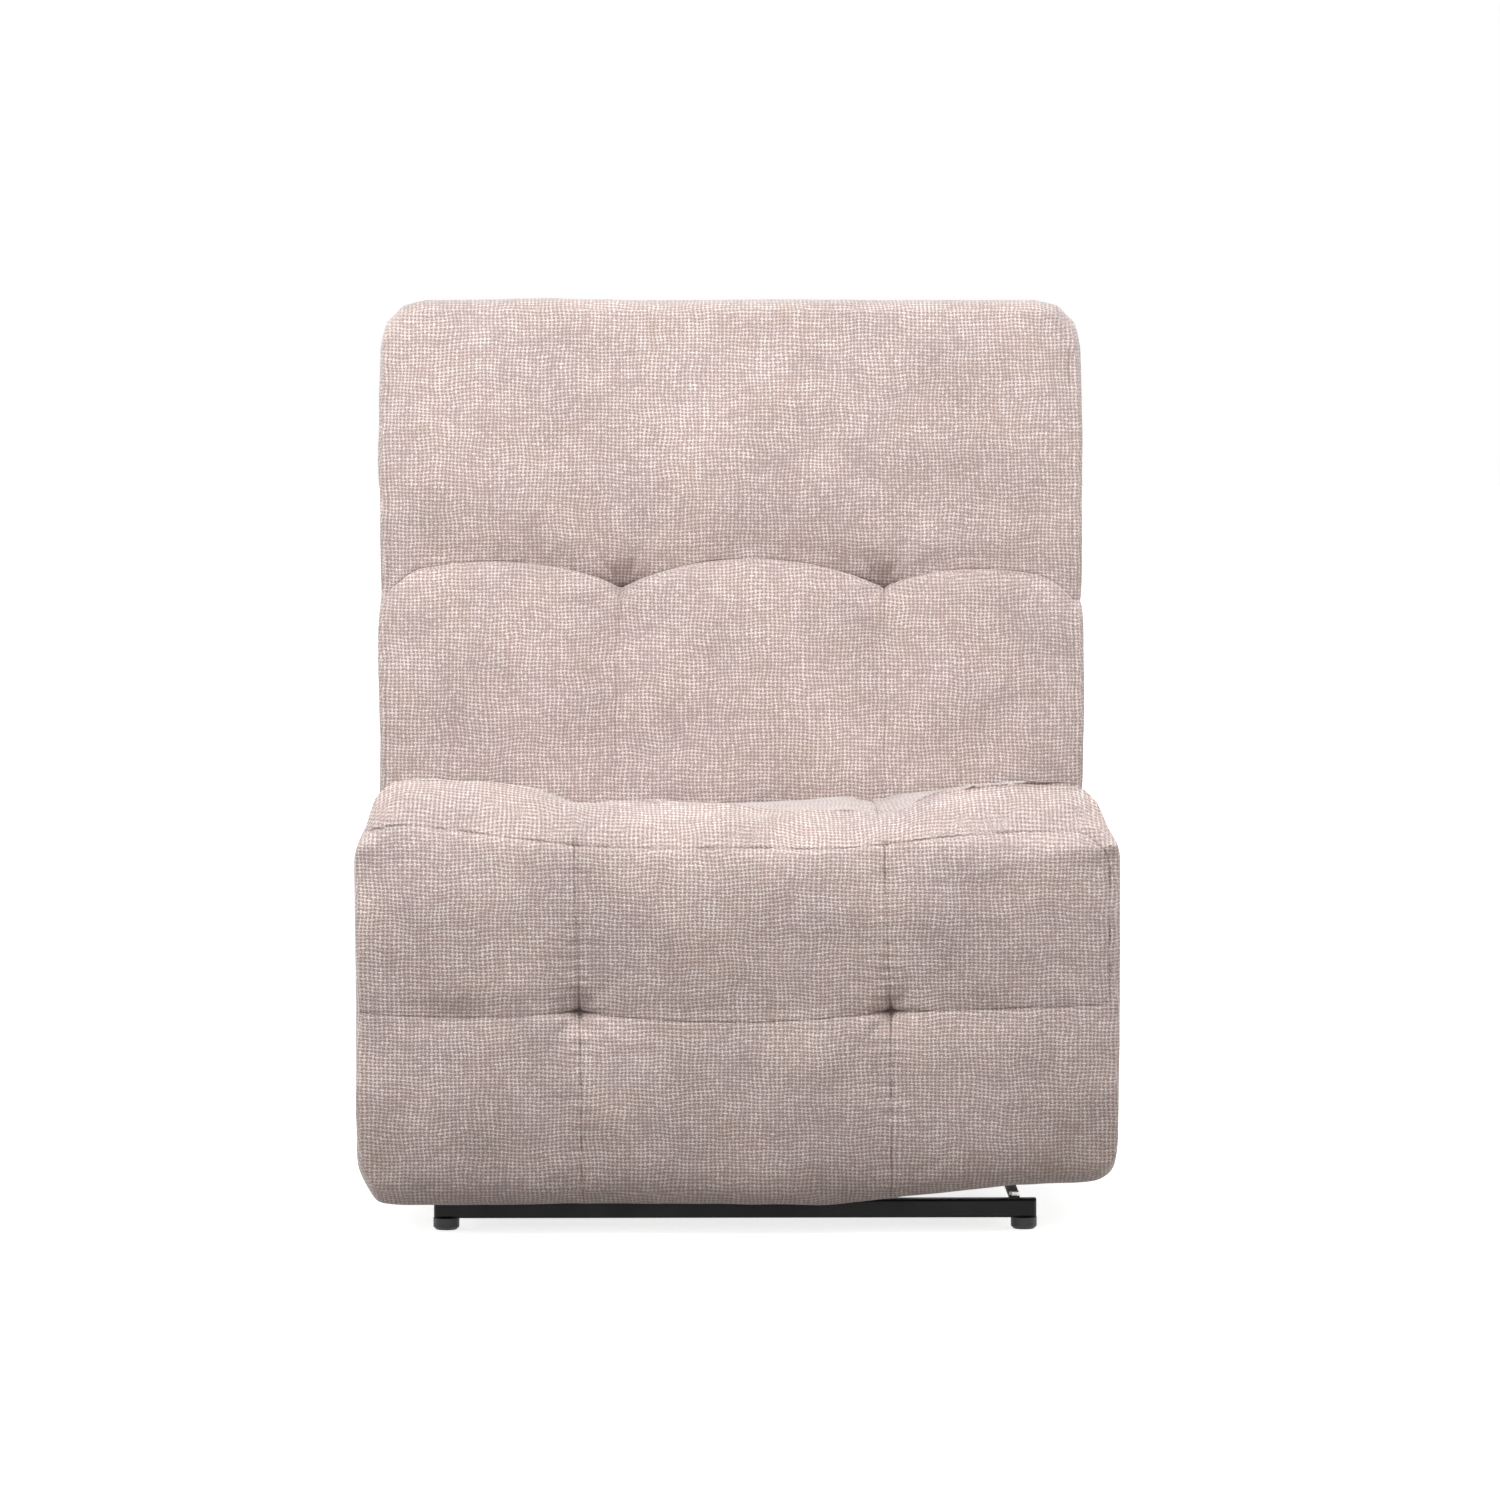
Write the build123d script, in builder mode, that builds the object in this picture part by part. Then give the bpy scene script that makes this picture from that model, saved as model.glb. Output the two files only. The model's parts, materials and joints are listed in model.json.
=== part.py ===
"""Armless recliner: tufted chaise cushions on a steel glide and footrest mechanism.

Millimetres, +Z up, the front faces -Y.  Side profiles are drawn in (forward, height): forward is
counted towards the front from the mechanism's datum, which lies datum_y behind the part's origin.
"""

from build123d import *
import os
from math import asin, atan2, cos, degrees, hypot, radians, sin

os.makedirs("parts", exist_ok=True)

# ---------------------------------------------------------------- driving dimensions
# Frame of reference
datum_y = 40.0

# Steel sheet, running gaps and pivots
plate = 3.0
layer_gap = 0.5
track_half_width = 310.0
pin_radius = 4.0
pin_fit = 0.02
running_gap = 0.1
pin_head_radius = 7.5
pin_head_height = 2.0
small_sides = 10
collar_radius = 6.5
collar_gap = 0.3
eye_radius = 9.0
seat_gap = 0.3

# Base
glide_radius = 14.0
glide_height = 12.5
glide_inset = 11.0
glide_chamfer = 3.0
tube_size = 20.0
tube_wall = 2.0
tube_corner = 3.0
base_tube_length = 642.0
base_front = 385.0
base_rear = -319.0
rail_height = 23.0
rail_flange = 12.0
ear_radius = 12.0
ear_spread = 12.0
bolt_head_across = 10.0
bolt_head_height = 4.0
bolt_radius = 3.0
bolt_length = 12.0
cap_depth = 14.0
cap_lip = 2.0

# Glide links
glide_link_length = 80.0
glide_link_rest = 120.0
front_glide_foot = (200.0, 62.0)
glide_wheelbase = 280.0
glide_tube_radius = 7.0
glide_tube_reach = 45.0
tie_wall = 1.6

# Footrest linkage
footrest_turn = 86.0
lift_arm_length = 160.0
lift_arm_rest = -97.5
carry_link_length = 220.0
bracket_pivot_rest = (368.0, 275.0)
bracket_pivot_open = (615.0, 352.0)
parallel_offset = 45.0
parallel_rest = 98.0
steer_offset = (20.0, -20.0)
steer_pivot_offset = (24.3, -35.7)
steer_slack = 0.5
torque_tube_radius = 8.0
torque_tube_offset = (-27.7, -55.4)
link_waist = 8.0

# Back linkage
back_pivot = (-75.0, 300.0)
back_lean = 15.0
back_crank = (-10.0, -40.0)
back_link_foot = (-30.35, 109.06)
back_link_slack = 0.6
back_pivot_eye = 14.0

# Seat plates
plate_rear = -60.0
plate_front = 282.0
plate_bottom = 215.0
plate_top = 335.0
plate_root = 20.0
plate_front_root = 40.0
plate_eye = 13.0

# Seat frame
wood_rail = 35.0
rail_bottom = 262.0
deck_height = 345.0
side_rail_rear = -60.0
front_rail_face = 315.0
front_rail_thickness = 25.0
front_rail_bottom = 270.0
nose_board = 12.0
nose_round = 5.0
strap_margin = 8.0
nose_front = 380.0
nose_board_front = 374.0
rear_rail_face = -20.0
rear_rail_thickness = 25.0
webbing_width = 50.0
webbing_thickness = 2.0
webbing_count = 5
webbing_pitch = 104.0
cross_webbing_count = 3
cross_webbing_pitch = 85.0
cross_webbing_middle = 130.0
plate_screw_radius = 3.0
plate_screw_head_radius = 6.0
plate_screw_head_height = 2.5
screw_depth = 12.0
plate_screw_height = 312.0
plate_screw_places = (0.0, 115.0, 235.0)

# Side panels
side_board = 6.0
side_bottom = 62.0
side_front = 373.0
side_pad_depth = 49.0
side_pad_round = 22.0
side_pad_bevel = 4.0
side_top_gap = 4.0
side_corner = 26.0
side_rear_top = -62.0
side_knee = (-128.0, 289.0)
side_rear_foot = (-212.0, 188.0)
side_board_inset = 6.0

# Release handle
release_side = -1
release_place = (82.0, 205.0)
release_shaft_radius = 6.0
release_bezel_place = (120.0, 215.0)
release_bezel_size = (122.0, 76.0)
release_bezel_corner = 18.0
release_bezel_depth = 16.0
release_bezel_wall = 3.0
release_bezel_floor = 2.5
release_bezel_lip = 2.5
release_bezel_flange = 5.0
release_paddle_chamfer = 1.5
release_bezel_clearance = 0.3
release_paddle_thickness = 7.0
release_paddle_lift = 3.0
release_paddle_hub = 15.0
release_paddle_tip = 9.0
release_paddle_length = 80.0
release_paddle_rest = -8.0
release_clearance = 1.0
release_cam_radius = 14.0
release_cam_reach = 34.0
release_cam_tip = 6.0
release_cam_rest = -70.0

# Footrest board and pad
board_thickness = 15.0
board_bottom = 80.0
board_top = 400.0
board_half_width = 372.0
board_rear = 380.0
pad_half_width = 406.0
pad_front = 490.0
pad_bottom = 31.0
pad_middle_seam = 244.0
pad_top_seam = 428.0
pad_top = 478.0
pad_rear_gap = 2.0
pad_seams = (-168.0, 162.0)
pad_round_over = 44.0
pad_seam_depth = 13.0
pad_channel_depth = 11.0
pad_edge_draw = 15.0
pad_foot_rise = 20.0
pad_side_fullness = 2.0
pad_seam_rise = 20.0
pad_top_draw = 5.6
pad_seam_draw = 4.0
board_corner = 20.0
board_screw_heights = (245.0, 300.0)
roll_crest = 446.0
roll_swell = 9.0
roll_lift = 5.0
roll_fall = 26.0
roll_edge = 2.0
bracket_foot = 225.0
bracket_flange = 26.0

# Seat cushion
cushion_half_width = 400.0
cushion_front = 377.0
cushion_rear_foot = -21.0
cushion_rear_top = -49.0
cushion_middle_top = 466.0
cushion_side_top = 480.0
cushion_seam_top = 450.0
cushion_edge_draw = 20.0
cushion_seams = (-150.0, 158.0)
cushion_crest = 352.0
cushion_crest_fall = 6.0
cushion_rear_fall = 8.0
cushion_front_round = 34.0
cushion_nose_round = 8.0
cushion_shoulder = 30.0

# Back, in its own leaning frame: out towards the sitter, up along the back
back_half_width = 402.0
back_bottom = 45.0
back_top = 722.0
back_face = 60.0
back_frame_face = -85.0
back_frame_thickness = 45.0
back_seam_height = 390.0
back_seam_depth = 16.0
back_channel_depth = 13.0
back_edge_draw = 20.0
back_corner = 50.0
back_seams = (-131.0, 168.0)
stile_inner = track_half_width - layer_gap
stile_outer = 398.0
back_frame_bottom = 48.0
back_frame_top = 696.0
back_rail_height = 70.0
back_webbing_count = 6
back_webbing_pitch = 76.0
back_panel_thickness = 4.0
back_pad_thickness = 30.0
back_pad_corner = 24.0
back_pad_round = 20.0
back_pad_bevel = 2.0
band_thickness = 4.0
back_cover_top = 702.0
back_webbing_middle = 365.0
back_shoulder = 26.0
back_crest = 0.45
back_crest_fall = 10.0
back_chin = 22.0
back_head_fall = 3.0
back_bracket_top = 265.0
back_bracket_half = 18.0
back_bracket_step = 15.0
back_screw_places = (140.0, 195.0, 250.0)

# Steps across a stuffed column, round a drawn-in end and along a small rounded corner
column_steps = 4
round_steps = 3
chord_steps = 3

SIDES = (("left", -1), ("right", 1))


# ---------------------------------------------------------------- frames and helpers
def side_plane(x):
    """Sketch plane at X = x whose own x runs forward and whose own y runs up."""
    return Plane(origin=(x, datum_y, 0), x_dir=(0, -1, 0), z_dir=(-1, 0, 0))


def floor_plane(height):
    """Level sketch plane whose own x runs to +X and whose own y runs back from the datum."""
    return Plane(origin=(0, datum_y, height), x_dir=(1, 0, 0), z_dir=(0, 0, 1))


def layer(level):
    """Inner face, from the centre plane, of the sheet on a layer counted inwards from the seat plate."""
    return track_half_width - level * (plate + layer_gap)


def swung(point, length, angle):
    """The point at a length and an angle above forward from another."""
    return (point[0] + length * cos(radians(angle)), point[1] + length * sin(radians(angle)))


def shifted(point, offset):
    return (point[0] + offset[0], point[1] + offset[1])


def in_back(out, up):
    """A point of the leaning back, as (forward, height)."""
    lean = radians(back_lean)
    return (
        back_pivot[0] + out * cos(lean) - up * sin(lean),
        back_pivot[1] + out * sin(lean) + up * cos(lean),
    )


def back_plane(out):
    """Sketch plane across the back at a depth: its own x runs to +X, its own y up the back."""
    forward, height = in_back(out, 0)
    lean = radians(back_lean)
    return Plane(
        origin=(0, datum_y - forward, height), x_dir=(1, 0, 0), z_dir=(0, -cos(lean), sin(lean))
    )


def disc(point, radius):
    return Edge.make_circle(radius, Plane(origin=(point[0], point[1], 0)))


def bar(*eyes):
    """The sheet outline that wraps round discs given as (point, radius)."""
    make_hull([disc(point, radius) for point, radius in eyes])


def hole(point, radius):
    with Locations(point):
        Circle(radius, mode=Mode.SUBTRACT)


def screw_hole(point):
    with Locations(point):
        RegularPolygon(plate_screw_radius + pin_fit, small_sides, mode=Mode.SUBTRACT)


def turn_pin(side, point, outer, inner, radius=pin_radius):
    """A round shank along X between two distances from the centre plane."""
    with BuildSketch(side_plane(side * inner)) as section:
        with Locations(point):
            Circle(radius)
    extrude(section.sketch, amount=-side * (outer - inner))


def stud(side, point, outer, inner, radius):
    """A many-sided head, collar or screw along X between two distances from the centre plane."""
    with BuildSketch(side_plane(side * inner)) as section:
        with Locations(point):
            RegularPolygon(radius, small_sides)
    extrude(section.sketch, amount=-side * (outer - inner))


def staked_pin(side, point, owner, guest, headed=True):
    """A pin fused to its own sheet's layer, through the guest sheet, with a collar between them.

    Where it is headed, its free end carries a rivet head on the guest's far side.
    """
    outwards = guest < owner
    near_face = layer(guest) if outwards else layer(guest) + plate
    far_face = layer(guest) + plate if outwards else layer(guest)
    root = layer(owner) + plate if outwards else layer(owner)
    tip = far_face + layer_gap / 2 if outwards else far_face - layer_gap / 2
    if not headed:
        tip = far_face
    turn_pin(side, point, max(root, tip), min(root, tip))
    if abs(owner - guest) > 1:
        stop = near_face - collar_gap if outwards else near_face + collar_gap
        stud(side, point, max(root, stop), min(root, stop), collar_radius)
    if headed:
        face = tip if outwards else tip - pin_head_height
        stud(side, point, face + pin_head_height, face, pin_head_radius)


def save(piece, name):
    piece.part.label = name
    export_step(piece.part, f"parts/{name}.step")


# ---------------------------------------------------------------- linkage points
running_hole = pin_radius + running_gap

front_glide_head = swung(front_glide_foot, glide_link_length, glide_link_rest)
rear_glide_foot = shifted(front_glide_foot, (-glide_wheelbase, 0))
rear_glide_head = shifted(front_glide_head, (-glide_wheelbase, 0))

arm_rest = swung((0, 0), lift_arm_length, lift_arm_rest)
arm_open = swung((0, 0), lift_arm_length, lift_arm_rest + footrest_turn)
carry_run = (
    bracket_pivot_open[0] - bracket_pivot_rest[0] - arm_open[0] + arm_rest[0],
    bracket_pivot_open[1] - bracket_pivot_rest[1] - arm_open[1] + arm_rest[1],
)
carry_turn = 2 * degrees(asin(hypot(*carry_run) / 2 / carry_link_length))
carry_rest = degrees(atan2(carry_run[1], carry_run[0])) + 90 + carry_turn / 2
arm_end = swung(bracket_pivot_rest, -carry_link_length, carry_rest)
arm_pivot = (arm_end[0] - arm_rest[0], arm_end[1] - arm_rest[1])
second_arm_end = swung(arm_end, parallel_offset, parallel_rest)
second_bracket_pivot = swung(bracket_pivot_rest, parallel_offset, parallel_rest)
steer_end = shifted(arm_end, steer_offset)
steer_pivot = shifted(arm_pivot, steer_pivot_offset)
torque_tube_place = shifted(arm_pivot, torque_tube_offset)
back_crank_end = shifted(back_pivot, back_crank)

# ---------------------------------------------------------------- base
tube_top = glide_height + tube_size
rail_top = tube_top + plate
web_outer = layer(2) + plate
rail_inner = web_outer - rail_flange
rail_middle = (web_outer + rail_inner) / 2
tube_middle = glide_height + tube_size / 2
tube_bore = tube_size - 2 * tube_wall

with BuildPart() as base_tubes:
    for forward in (base_front, base_rear):
        with BuildSketch(Plane.YZ.offset(-base_tube_length / 2)):
            with Locations((datum_y - forward, tube_middle)):
                RectangleRounded(tube_size, tube_size, tube_corner)
                Rectangle(tube_bore, tube_bore, mode=Mode.SUBTRACT)
        extrude(amount=base_tube_length)
        for side in (-1, 1):
            with BuildSketch(floor_plane(tube_top - tube_wall)):
                with Locations((side * rail_middle, -forward)):
                    RegularPolygon(bolt_radius + pin_fit, small_sides)
            extrude(amount=tube_wall, mode=Mode.SUBTRACT)
save(base_tubes, "base_tubes")

with BuildPart() as base_end_caps:
    for forward in (base_front, base_rear):
        for side in (-1, 1):
            with BuildSketch(side_plane(side * (base_tube_length / 2 - cap_depth))):
                with Locations((forward, tube_middle)):
                    Rectangle(tube_bore - pin_fit, tube_bore - pin_fit)
            extrude(amount=-side * cap_depth)
            with BuildSketch(side_plane(side * base_tube_length / 2)):
                with Locations((forward, tube_middle)):
                    RectangleRounded(tube_size, tube_size, tube_corner)
            extrude(amount=-side * cap_lip)
save(base_end_caps, "base_end_caps")

with BuildPart() as floor_glides:
    for forward in (base_front, base_rear):
        for side in (-1, 1):
            glide_x = side * (base_tube_length / 2 - glide_inset)
            with BuildSketch(Plane.XZ.offset(forward - datum_y)):
                with BuildLine():
                    Polyline(
                        (glide_x, glide_height),
                        (glide_x, 0),
                        (glide_x + glide_radius - glide_chamfer, 0),
                        (glide_x + glide_radius, glide_chamfer),
                        (glide_x + glide_radius, glide_height),
                        close=True,
                    )
                make_face()
            revolve(axis=Axis((glide_x, datum_y - forward, 0), (0, 0, 1)))
save(floor_glides, "floor_glides")

front_rail_rear = front_rail_face - front_rail_thickness
nose_bottom = deck_height - nose_board
rail_front_end = base_front + tube_size / 2
rail_rear_end = base_rear - tube_size / 2
web_front_end = base_front - tube_size / 2
web_rear_end = base_rear + tube_size / 2
web_length = web_front_end - web_rear_end
for name, side in SIDES:
    with BuildPart() as base_rail:
        with BuildSketch(side_plane(side * layer(2))):
            with Locations(((web_front_end + web_rear_end) / 2, rail_top - rail_height / 2)):
                Rectangle(web_length, rail_height)
            ear_base = rail_top - rail_height + ear_radius
            bar(
                (front_glide_foot, ear_radius),
                ((front_glide_foot[0] - ear_spread, ear_base), ear_radius),
                ((front_glide_foot[0] + ear_spread, ear_base), ear_radius),
            )
            bar(
                (rear_glide_foot, ear_radius),
                (back_link_foot, ear_radius),
                ((back_link_foot[0] + ear_spread, ear_base), ear_radius),
                ((rear_glide_foot[0] - ear_spread, ear_base), ear_radius),
            )
        extrude(amount=-side * plate)
        with BuildSketch(side_plane(side * rail_inner)):
            with Locations(((rail_front_end + rail_rear_end) / 2, rail_top - plate / 2)):
                Rectangle(rail_front_end - rail_rear_end, plate)
        extrude(amount=-side * (rail_flange - plate))
        with BuildSketch(floor_plane(rail_top - plate)):
            for forward in (base_front, base_rear):
                with Locations((side * rail_middle, -forward)):
                    RegularPolygon(bolt_radius + pin_fit, small_sides)
        extrude(amount=plate, mode=Mode.SUBTRACT)
        staked_pin(side, front_glide_foot, 2, 1)
        staked_pin(side, rear_glide_foot, 2, 1)
        staked_pin(side, back_link_foot, 2, 3)
    save(base_rail, f"base_rail_{name}")

with BuildPart() as base_bolts:
    for forward in (base_front, base_rear):
        for side in (-1, 1):
            with BuildSketch(floor_plane(rail_top)):
                with Locations((side * rail_middle, -forward)):
                    RegularPolygon(bolt_head_across / 2, 6, major_radius=False)
            extrude(amount=bolt_head_height)
            with BuildSketch(floor_plane(rail_top - bolt_length)):
                with Locations((side * rail_middle, -forward)):
                    RegularPolygon(bolt_radius, small_sides)
            extrude(amount=bolt_length)
save(base_bolts, "base_bolts")

# ---------------------------------------------------------------- glide links
for end, foot, top in (
    ("front", front_glide_foot, front_glide_head),
    ("rear", rear_glide_foot, rear_glide_head),
):
    for name, side in SIDES:
        with BuildPart() as glide_link:
            with BuildSketch(side_plane(side * layer(1))):
                bar((foot, eye_radius), (top, eye_radius))
                hole(foot, running_hole)
                hole(top, running_hole)
            extrude(amount=-side * plate)
        save(glide_link, f"{end}_glide_link_{name}")

with BuildPart() as glide_tie_tube:
    tie_place = swung(front_glide_foot, glide_tube_reach, glide_link_rest)
    with BuildSketch(side_plane(-layer(1))):
        with Locations(tie_place):
            Circle(glide_tube_radius)
            Circle(glide_tube_radius - tie_wall, mode=Mode.SUBTRACT)
    extrude(amount=-2 * layer(1))
save(glide_tie_tube, "glide_tie_tube")

# ---------------------------------------------------------------- seat plates
wood_inner = track_half_width + plate
wood_outer = wood_inner + wood_rail
for name, side in SIDES:
    with BuildPart() as seat_plate:
        with BuildSketch(side_plane(side * layer(0))):
            with BuildLine():
                Polyline(
                    (plate_rear, plate_top),
                    (plate_rear, plate_bottom),
                    (plate_front, plate_bottom),
                    (plate_front, plate_top),
                    close=True,
                )
            make_face()
            bar((back_pivot, back_pivot_eye), ((plate_rear + plate_root, back_pivot[1]), plate_root))
            bar((rear_glide_head, plate_eye), ((plate_rear + plate_root, plate_bottom), plate_root))
            bar((front_glide_head, plate_eye), ((front_glide_head[0], plate_bottom), plate_front_root))
            bar(
                (arm_pivot, plate_eye),
                (steer_pivot, plate_eye),
                ((plate_front - plate_root, plate_bottom + plate_root), plate_root),
            )
            if side == release_side:
                hole(release_place, release_shaft_radius + running_gap)
            for forward in plate_screw_places:
                screw_hole((forward, plate_screw_height))
        extrude(amount=-side * plate)
        staked_pin(side, front_glide_head, 0, 1)
        staked_pin(side, rear_glide_head, 0, 1)
        staked_pin(side, back_pivot, 0, 1)
        staked_pin(side, arm_pivot, 0, 2)
        staked_pin(side, steer_pivot, 0, 1, headed=False)
    save(seat_plate, f"seat_plate_{name}")

# ---------------------------------------------------------------- footrest linkage
for name, side in SIDES:
    with BuildPart() as lift_arm:
        with BuildSketch(side_plane(side * layer(2))):
            bar((arm_pivot, eye_radius), (second_arm_end, eye_radius), (torque_tube_place, eye_radius))
            bar((second_arm_end, eye_radius), (arm_end, eye_radius))
            hole(arm_pivot, running_hole)
        extrude(amount=-side * plate)
        staked_pin(side, arm_end, 2, 3)
        staked_pin(side, second_arm_end, 2, 3)
    save(lift_arm, f"lift_arm_{name}")

    with BuildPart() as steer_link:
        with BuildSketch(side_plane(side * layer(1))):
            bar((steer_pivot, eye_radius), (steer_end, eye_radius))
            hole(steer_pivot, running_hole)
            hole(steer_end, pin_radius + steer_slack)
        extrude(amount=-side * plate)
    save(steer_link, f"steer_link_{name}")

    with BuildPart() as carry_link:
        with BuildSketch(side_plane(side * layer(3))):
            bar((bracket_pivot_rest, link_waist), (arm_end, eye_radius))
            bar((arm_end, eye_radius), (steer_end, eye_radius))
            hole(arm_end, running_hole)
            hole(bracket_pivot_rest, running_hole)
        extrude(amount=-side * plate)
        staked_pin(side, steer_end, 3, 1, headed=False)
    save(carry_link, f"carry_link_{name}")

    with BuildPart() as second_link:
        with BuildSketch(side_plane(side * layer(3))):
            bar((second_arm_end, link_waist), (second_bracket_pivot, link_waist))
            hole(second_arm_end, running_hole)
            hole(second_bracket_pivot, running_hole)
        extrude(amount=-side * plate)
    save(second_link, f"second_link_{name}")

with BuildPart() as torque_tube:
    with BuildSketch(side_plane(-layer(2))):
        with Locations(torque_tube_place):
            Circle(torque_tube_radius)
            Circle(torque_tube_radius - tie_wall, mode=Mode.SUBTRACT)
    extrude(amount=-2 * layer(2))
save(torque_tube, "footrest_torque_tube")

# ---------------------------------------------------------------- footrest
bracket_top = second_bracket_pivot[1]
flange_height = bracket_top - bracket_foot
flange_face = board_rear - plate
flange_inner = layer(4) + plate - bracket_flange
flange_middle = flange_inner + bracket_flange / 2
for name, side in SIDES:
    with BuildPart() as footrest_bracket:
        with BuildSketch(side_plane(side * layer(4))):
            bar(
                (bracket_pivot_rest, eye_radius),
                (second_bracket_pivot, eye_radius),
                ((bracket_pivot_rest[0], bracket_foot + eye_radius), eye_radius),
            )
            with Locations(((bracket_pivot_rest[0] + board_rear) / 2, bracket_foot + flange_height / 2)):
                Rectangle(board_rear - bracket_pivot_rest[0], flange_height)
            with Locations(bracket_pivot_rest, second_bracket_pivot):
                Circle(eye_radius)
        extrude(amount=-side * plate)
        with BuildSketch(side_plane(side * flange_inner)):
            with Locations((flange_face + plate / 2, bracket_foot + flange_height / 2)):
                Rectangle(plate, flange_height)
        extrude(amount=-side * bracket_flange)
        with BuildSketch(Plane.XZ.offset(flange_face - datum_y)):
            for height in board_screw_heights:
                with Locations((side * flange_middle, height)):
                    RegularPolygon(plate_screw_radius + pin_fit, small_sides)
        extrude(amount=plate, mode=Mode.SUBTRACT)
        staked_pin(side, bracket_pivot_rest, 4, 3)
        staked_pin(side, second_bracket_pivot, 4, 3)
    save(footrest_bracket, f"footrest_bracket_{name}")

with BuildPart() as footrest_board:
    with BuildSketch(Plane.XZ.offset(board_rear - datum_y)):
        with Locations((0, (board_top + board_bottom) / 2)):
            RectangleRounded(2 * board_half_width, board_top - board_bottom, board_corner)
        for height in board_screw_heights:
            screw_hole((flange_middle, height))
            screw_hole((-flange_middle, height))
    extrude(amount=board_thickness)
save(footrest_board, "footrest_board")

with BuildPart() as board_screws:
    for side in (-1, 1):
        for height in board_screw_heights:
            with BuildSketch(Plane.XZ.offset(flange_face - datum_y)):
                with Locations((side * flange_middle, height)):
                    RegularPolygon(plate_screw_radius, small_sides)
            extrude(amount=screw_depth)
            with BuildSketch(Plane.XZ.offset(flange_face - plate_screw_head_height - datum_y)):
                with Locations((side * flange_middle, height)):
                    RegularPolygon(plate_screw_head_radius, small_sides)
            extrude(amount=plate_screw_head_height)
save(board_screws, "footrest_board_screws")


def chords(start, middle, end):
    """A small arc drawn as a few straight runs."""
    arc = ThreePointArc(start, middle, end, mode=Mode.PRIVATE)
    Polyline(*[arc @ (step / chord_steps) for step in range(chord_steps + 1)])


def pad_outline(fullness, draw):
    """The pad's side profile: two stuffed rows, a sewn line under the roll, and the roll.

    A fullness above 1 raises only the roll and the line under it.
    """
    full = min(fullness, 1)
    face = pad_front - (1 - full) * pad_seam_depth - draw
    seam = face - pad_channel_depth
    low = pad_bottom + draw
    top = pad_top - draw * pad_top_draw - (1 - fullness) * pad_channel_depth
    roll_seam_height = pad_top_seam - draw * pad_seam_draw + (fullness - full) * pad_seam_rise
    board_face = board_rear + board_thickness + seat_gap
    roll_rear = nose_front + pad_rear_gap
    back_foot = (board_face, low + pad_foot_rise / 2)
    front_foot = (seam, low + pad_foot_rise)
    middle_seam = (seam, pad_middle_seam)
    top_seam = (seam, roll_seam_height)
    crest = (roll_crest, top)
    behind = (roll_rear, max(top - roll_fall, board_top + roll_edge))
    with BuildLine() as profile:
        chords(back_foot, ((board_face + seam) / 2, low), front_foot)
        ThreePointArc(front_foot, (face, (front_foot[1] + pad_middle_seam) / 2), middle_seam)
        ThreePointArc(middle_seam, (face, (pad_middle_seam + roll_seam_height) / 2), top_seam)
        chords(top_seam, (seam + roll_swell, (roll_seam_height + top) / 2 + roll_lift), crest)
        chords(crest, ((roll_crest + roll_rear) / 2, (3 * top + behind[1]) / 4), behind)
        Polyline(
            behind,
            (roll_rear, board_top + seat_gap),
            (board_face, board_top + seat_gap),
            back_foot,
        )
    make_face(profile.edges())


def columns(half_width, seams, round_over, draw, side=1.0):
    """Stations from left to right as (x, fullness, draw): three stuffed columns and two round ends.

    The fullness is 0 along a seam, 1 on the middle column's crown and the named value at the sides,
    where the draw then pulls the outline in.
    """
    left, right = seams
    shoulder = half_width - round_over
    shares = [step / column_steps for step in range(column_steps + 1)]
    middle = [(left + (right - left) * share, 4 * share * (1 - share), 0) for share in shares]
    flanks = []
    for hand, seam in ((-1, left), (1, right)):
        flank = [
            (seam + (hand * shoulder - seam) * share, side * (1 - (1 - share) ** 3), 0)
            for share in shares[1:]
        ]
        for step in range(1, round_steps + 1):
            turn = radians(90 * step / round_steps)
            flank.append((hand * (shoulder + round_over * sin(turn)), side, draw * (1 - cos(turn))))
        flanks.append(flank)
    return flanks[0][::-1] + middle + flanks[1]


def rounded_depths(depth, bevel, round_over):
    """Stations of (depth, draw) of a padded panel: a bevel, a straight edge and a rounded face."""
    stations = [(0, bevel), (bevel, 0)]
    for step in range(round_steps + 1):
        turn = radians(90 * step / round_steps)
        stations.append((depth - round_over * (1 - sin(turn)), round_over * (1 - cos(turn))))
    return stations


def across(stations, outline):
    """Loft a soft solid across the chair through an outline's forms at the stations."""
    sections = []
    for x, fullness, draw in stations:
        with BuildSketch(side_plane(x)) as section:
            outline(fullness, draw)
        sections.append(section.sketch)
    loft(sections, ruled=True)


with BuildPart() as footrest_pad:
    across(
        columns(pad_half_width, pad_seams, pad_round_over, pad_edge_draw, pad_side_fullness),
        pad_outline,
    )
save(footrest_pad, "footrest_pad")

# ---------------------------------------------------------------- seat frame
for name, side in SIDES:
    with BuildPart() as side_rail:
        with BuildSketch(side_plane(side * wood_inner)):
            with Locations(((side_rail_rear + front_rail_rear) / 2, (rail_bottom + deck_height) / 2)):
                Rectangle(front_rail_rear - side_rail_rear, deck_height - rail_bottom)
        extrude(amount=-side * wood_rail)
        with BuildSketch(side_plane(side * wood_inner)):
            for forward in plate_screw_places:
                with Locations((forward, plate_screw_height)):
                    RegularPolygon(plate_screw_radius + pin_fit, small_sides)
        extrude(amount=-side * screw_depth, mode=Mode.SUBTRACT)
    save(side_rail, f"seat_side_rail_{name}")

with BuildPart() as front_rail:
    with BuildSketch(Plane.XZ.offset(front_rail_rear - datum_y)):
        with Locations((0, (front_rail_bottom + nose_bottom) / 2)):
            Rectangle(2 * wood_outer, nose_bottom - front_rail_bottom)
    extrude(amount=front_rail_thickness)
save(front_rail, "seat_front_rail")

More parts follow.
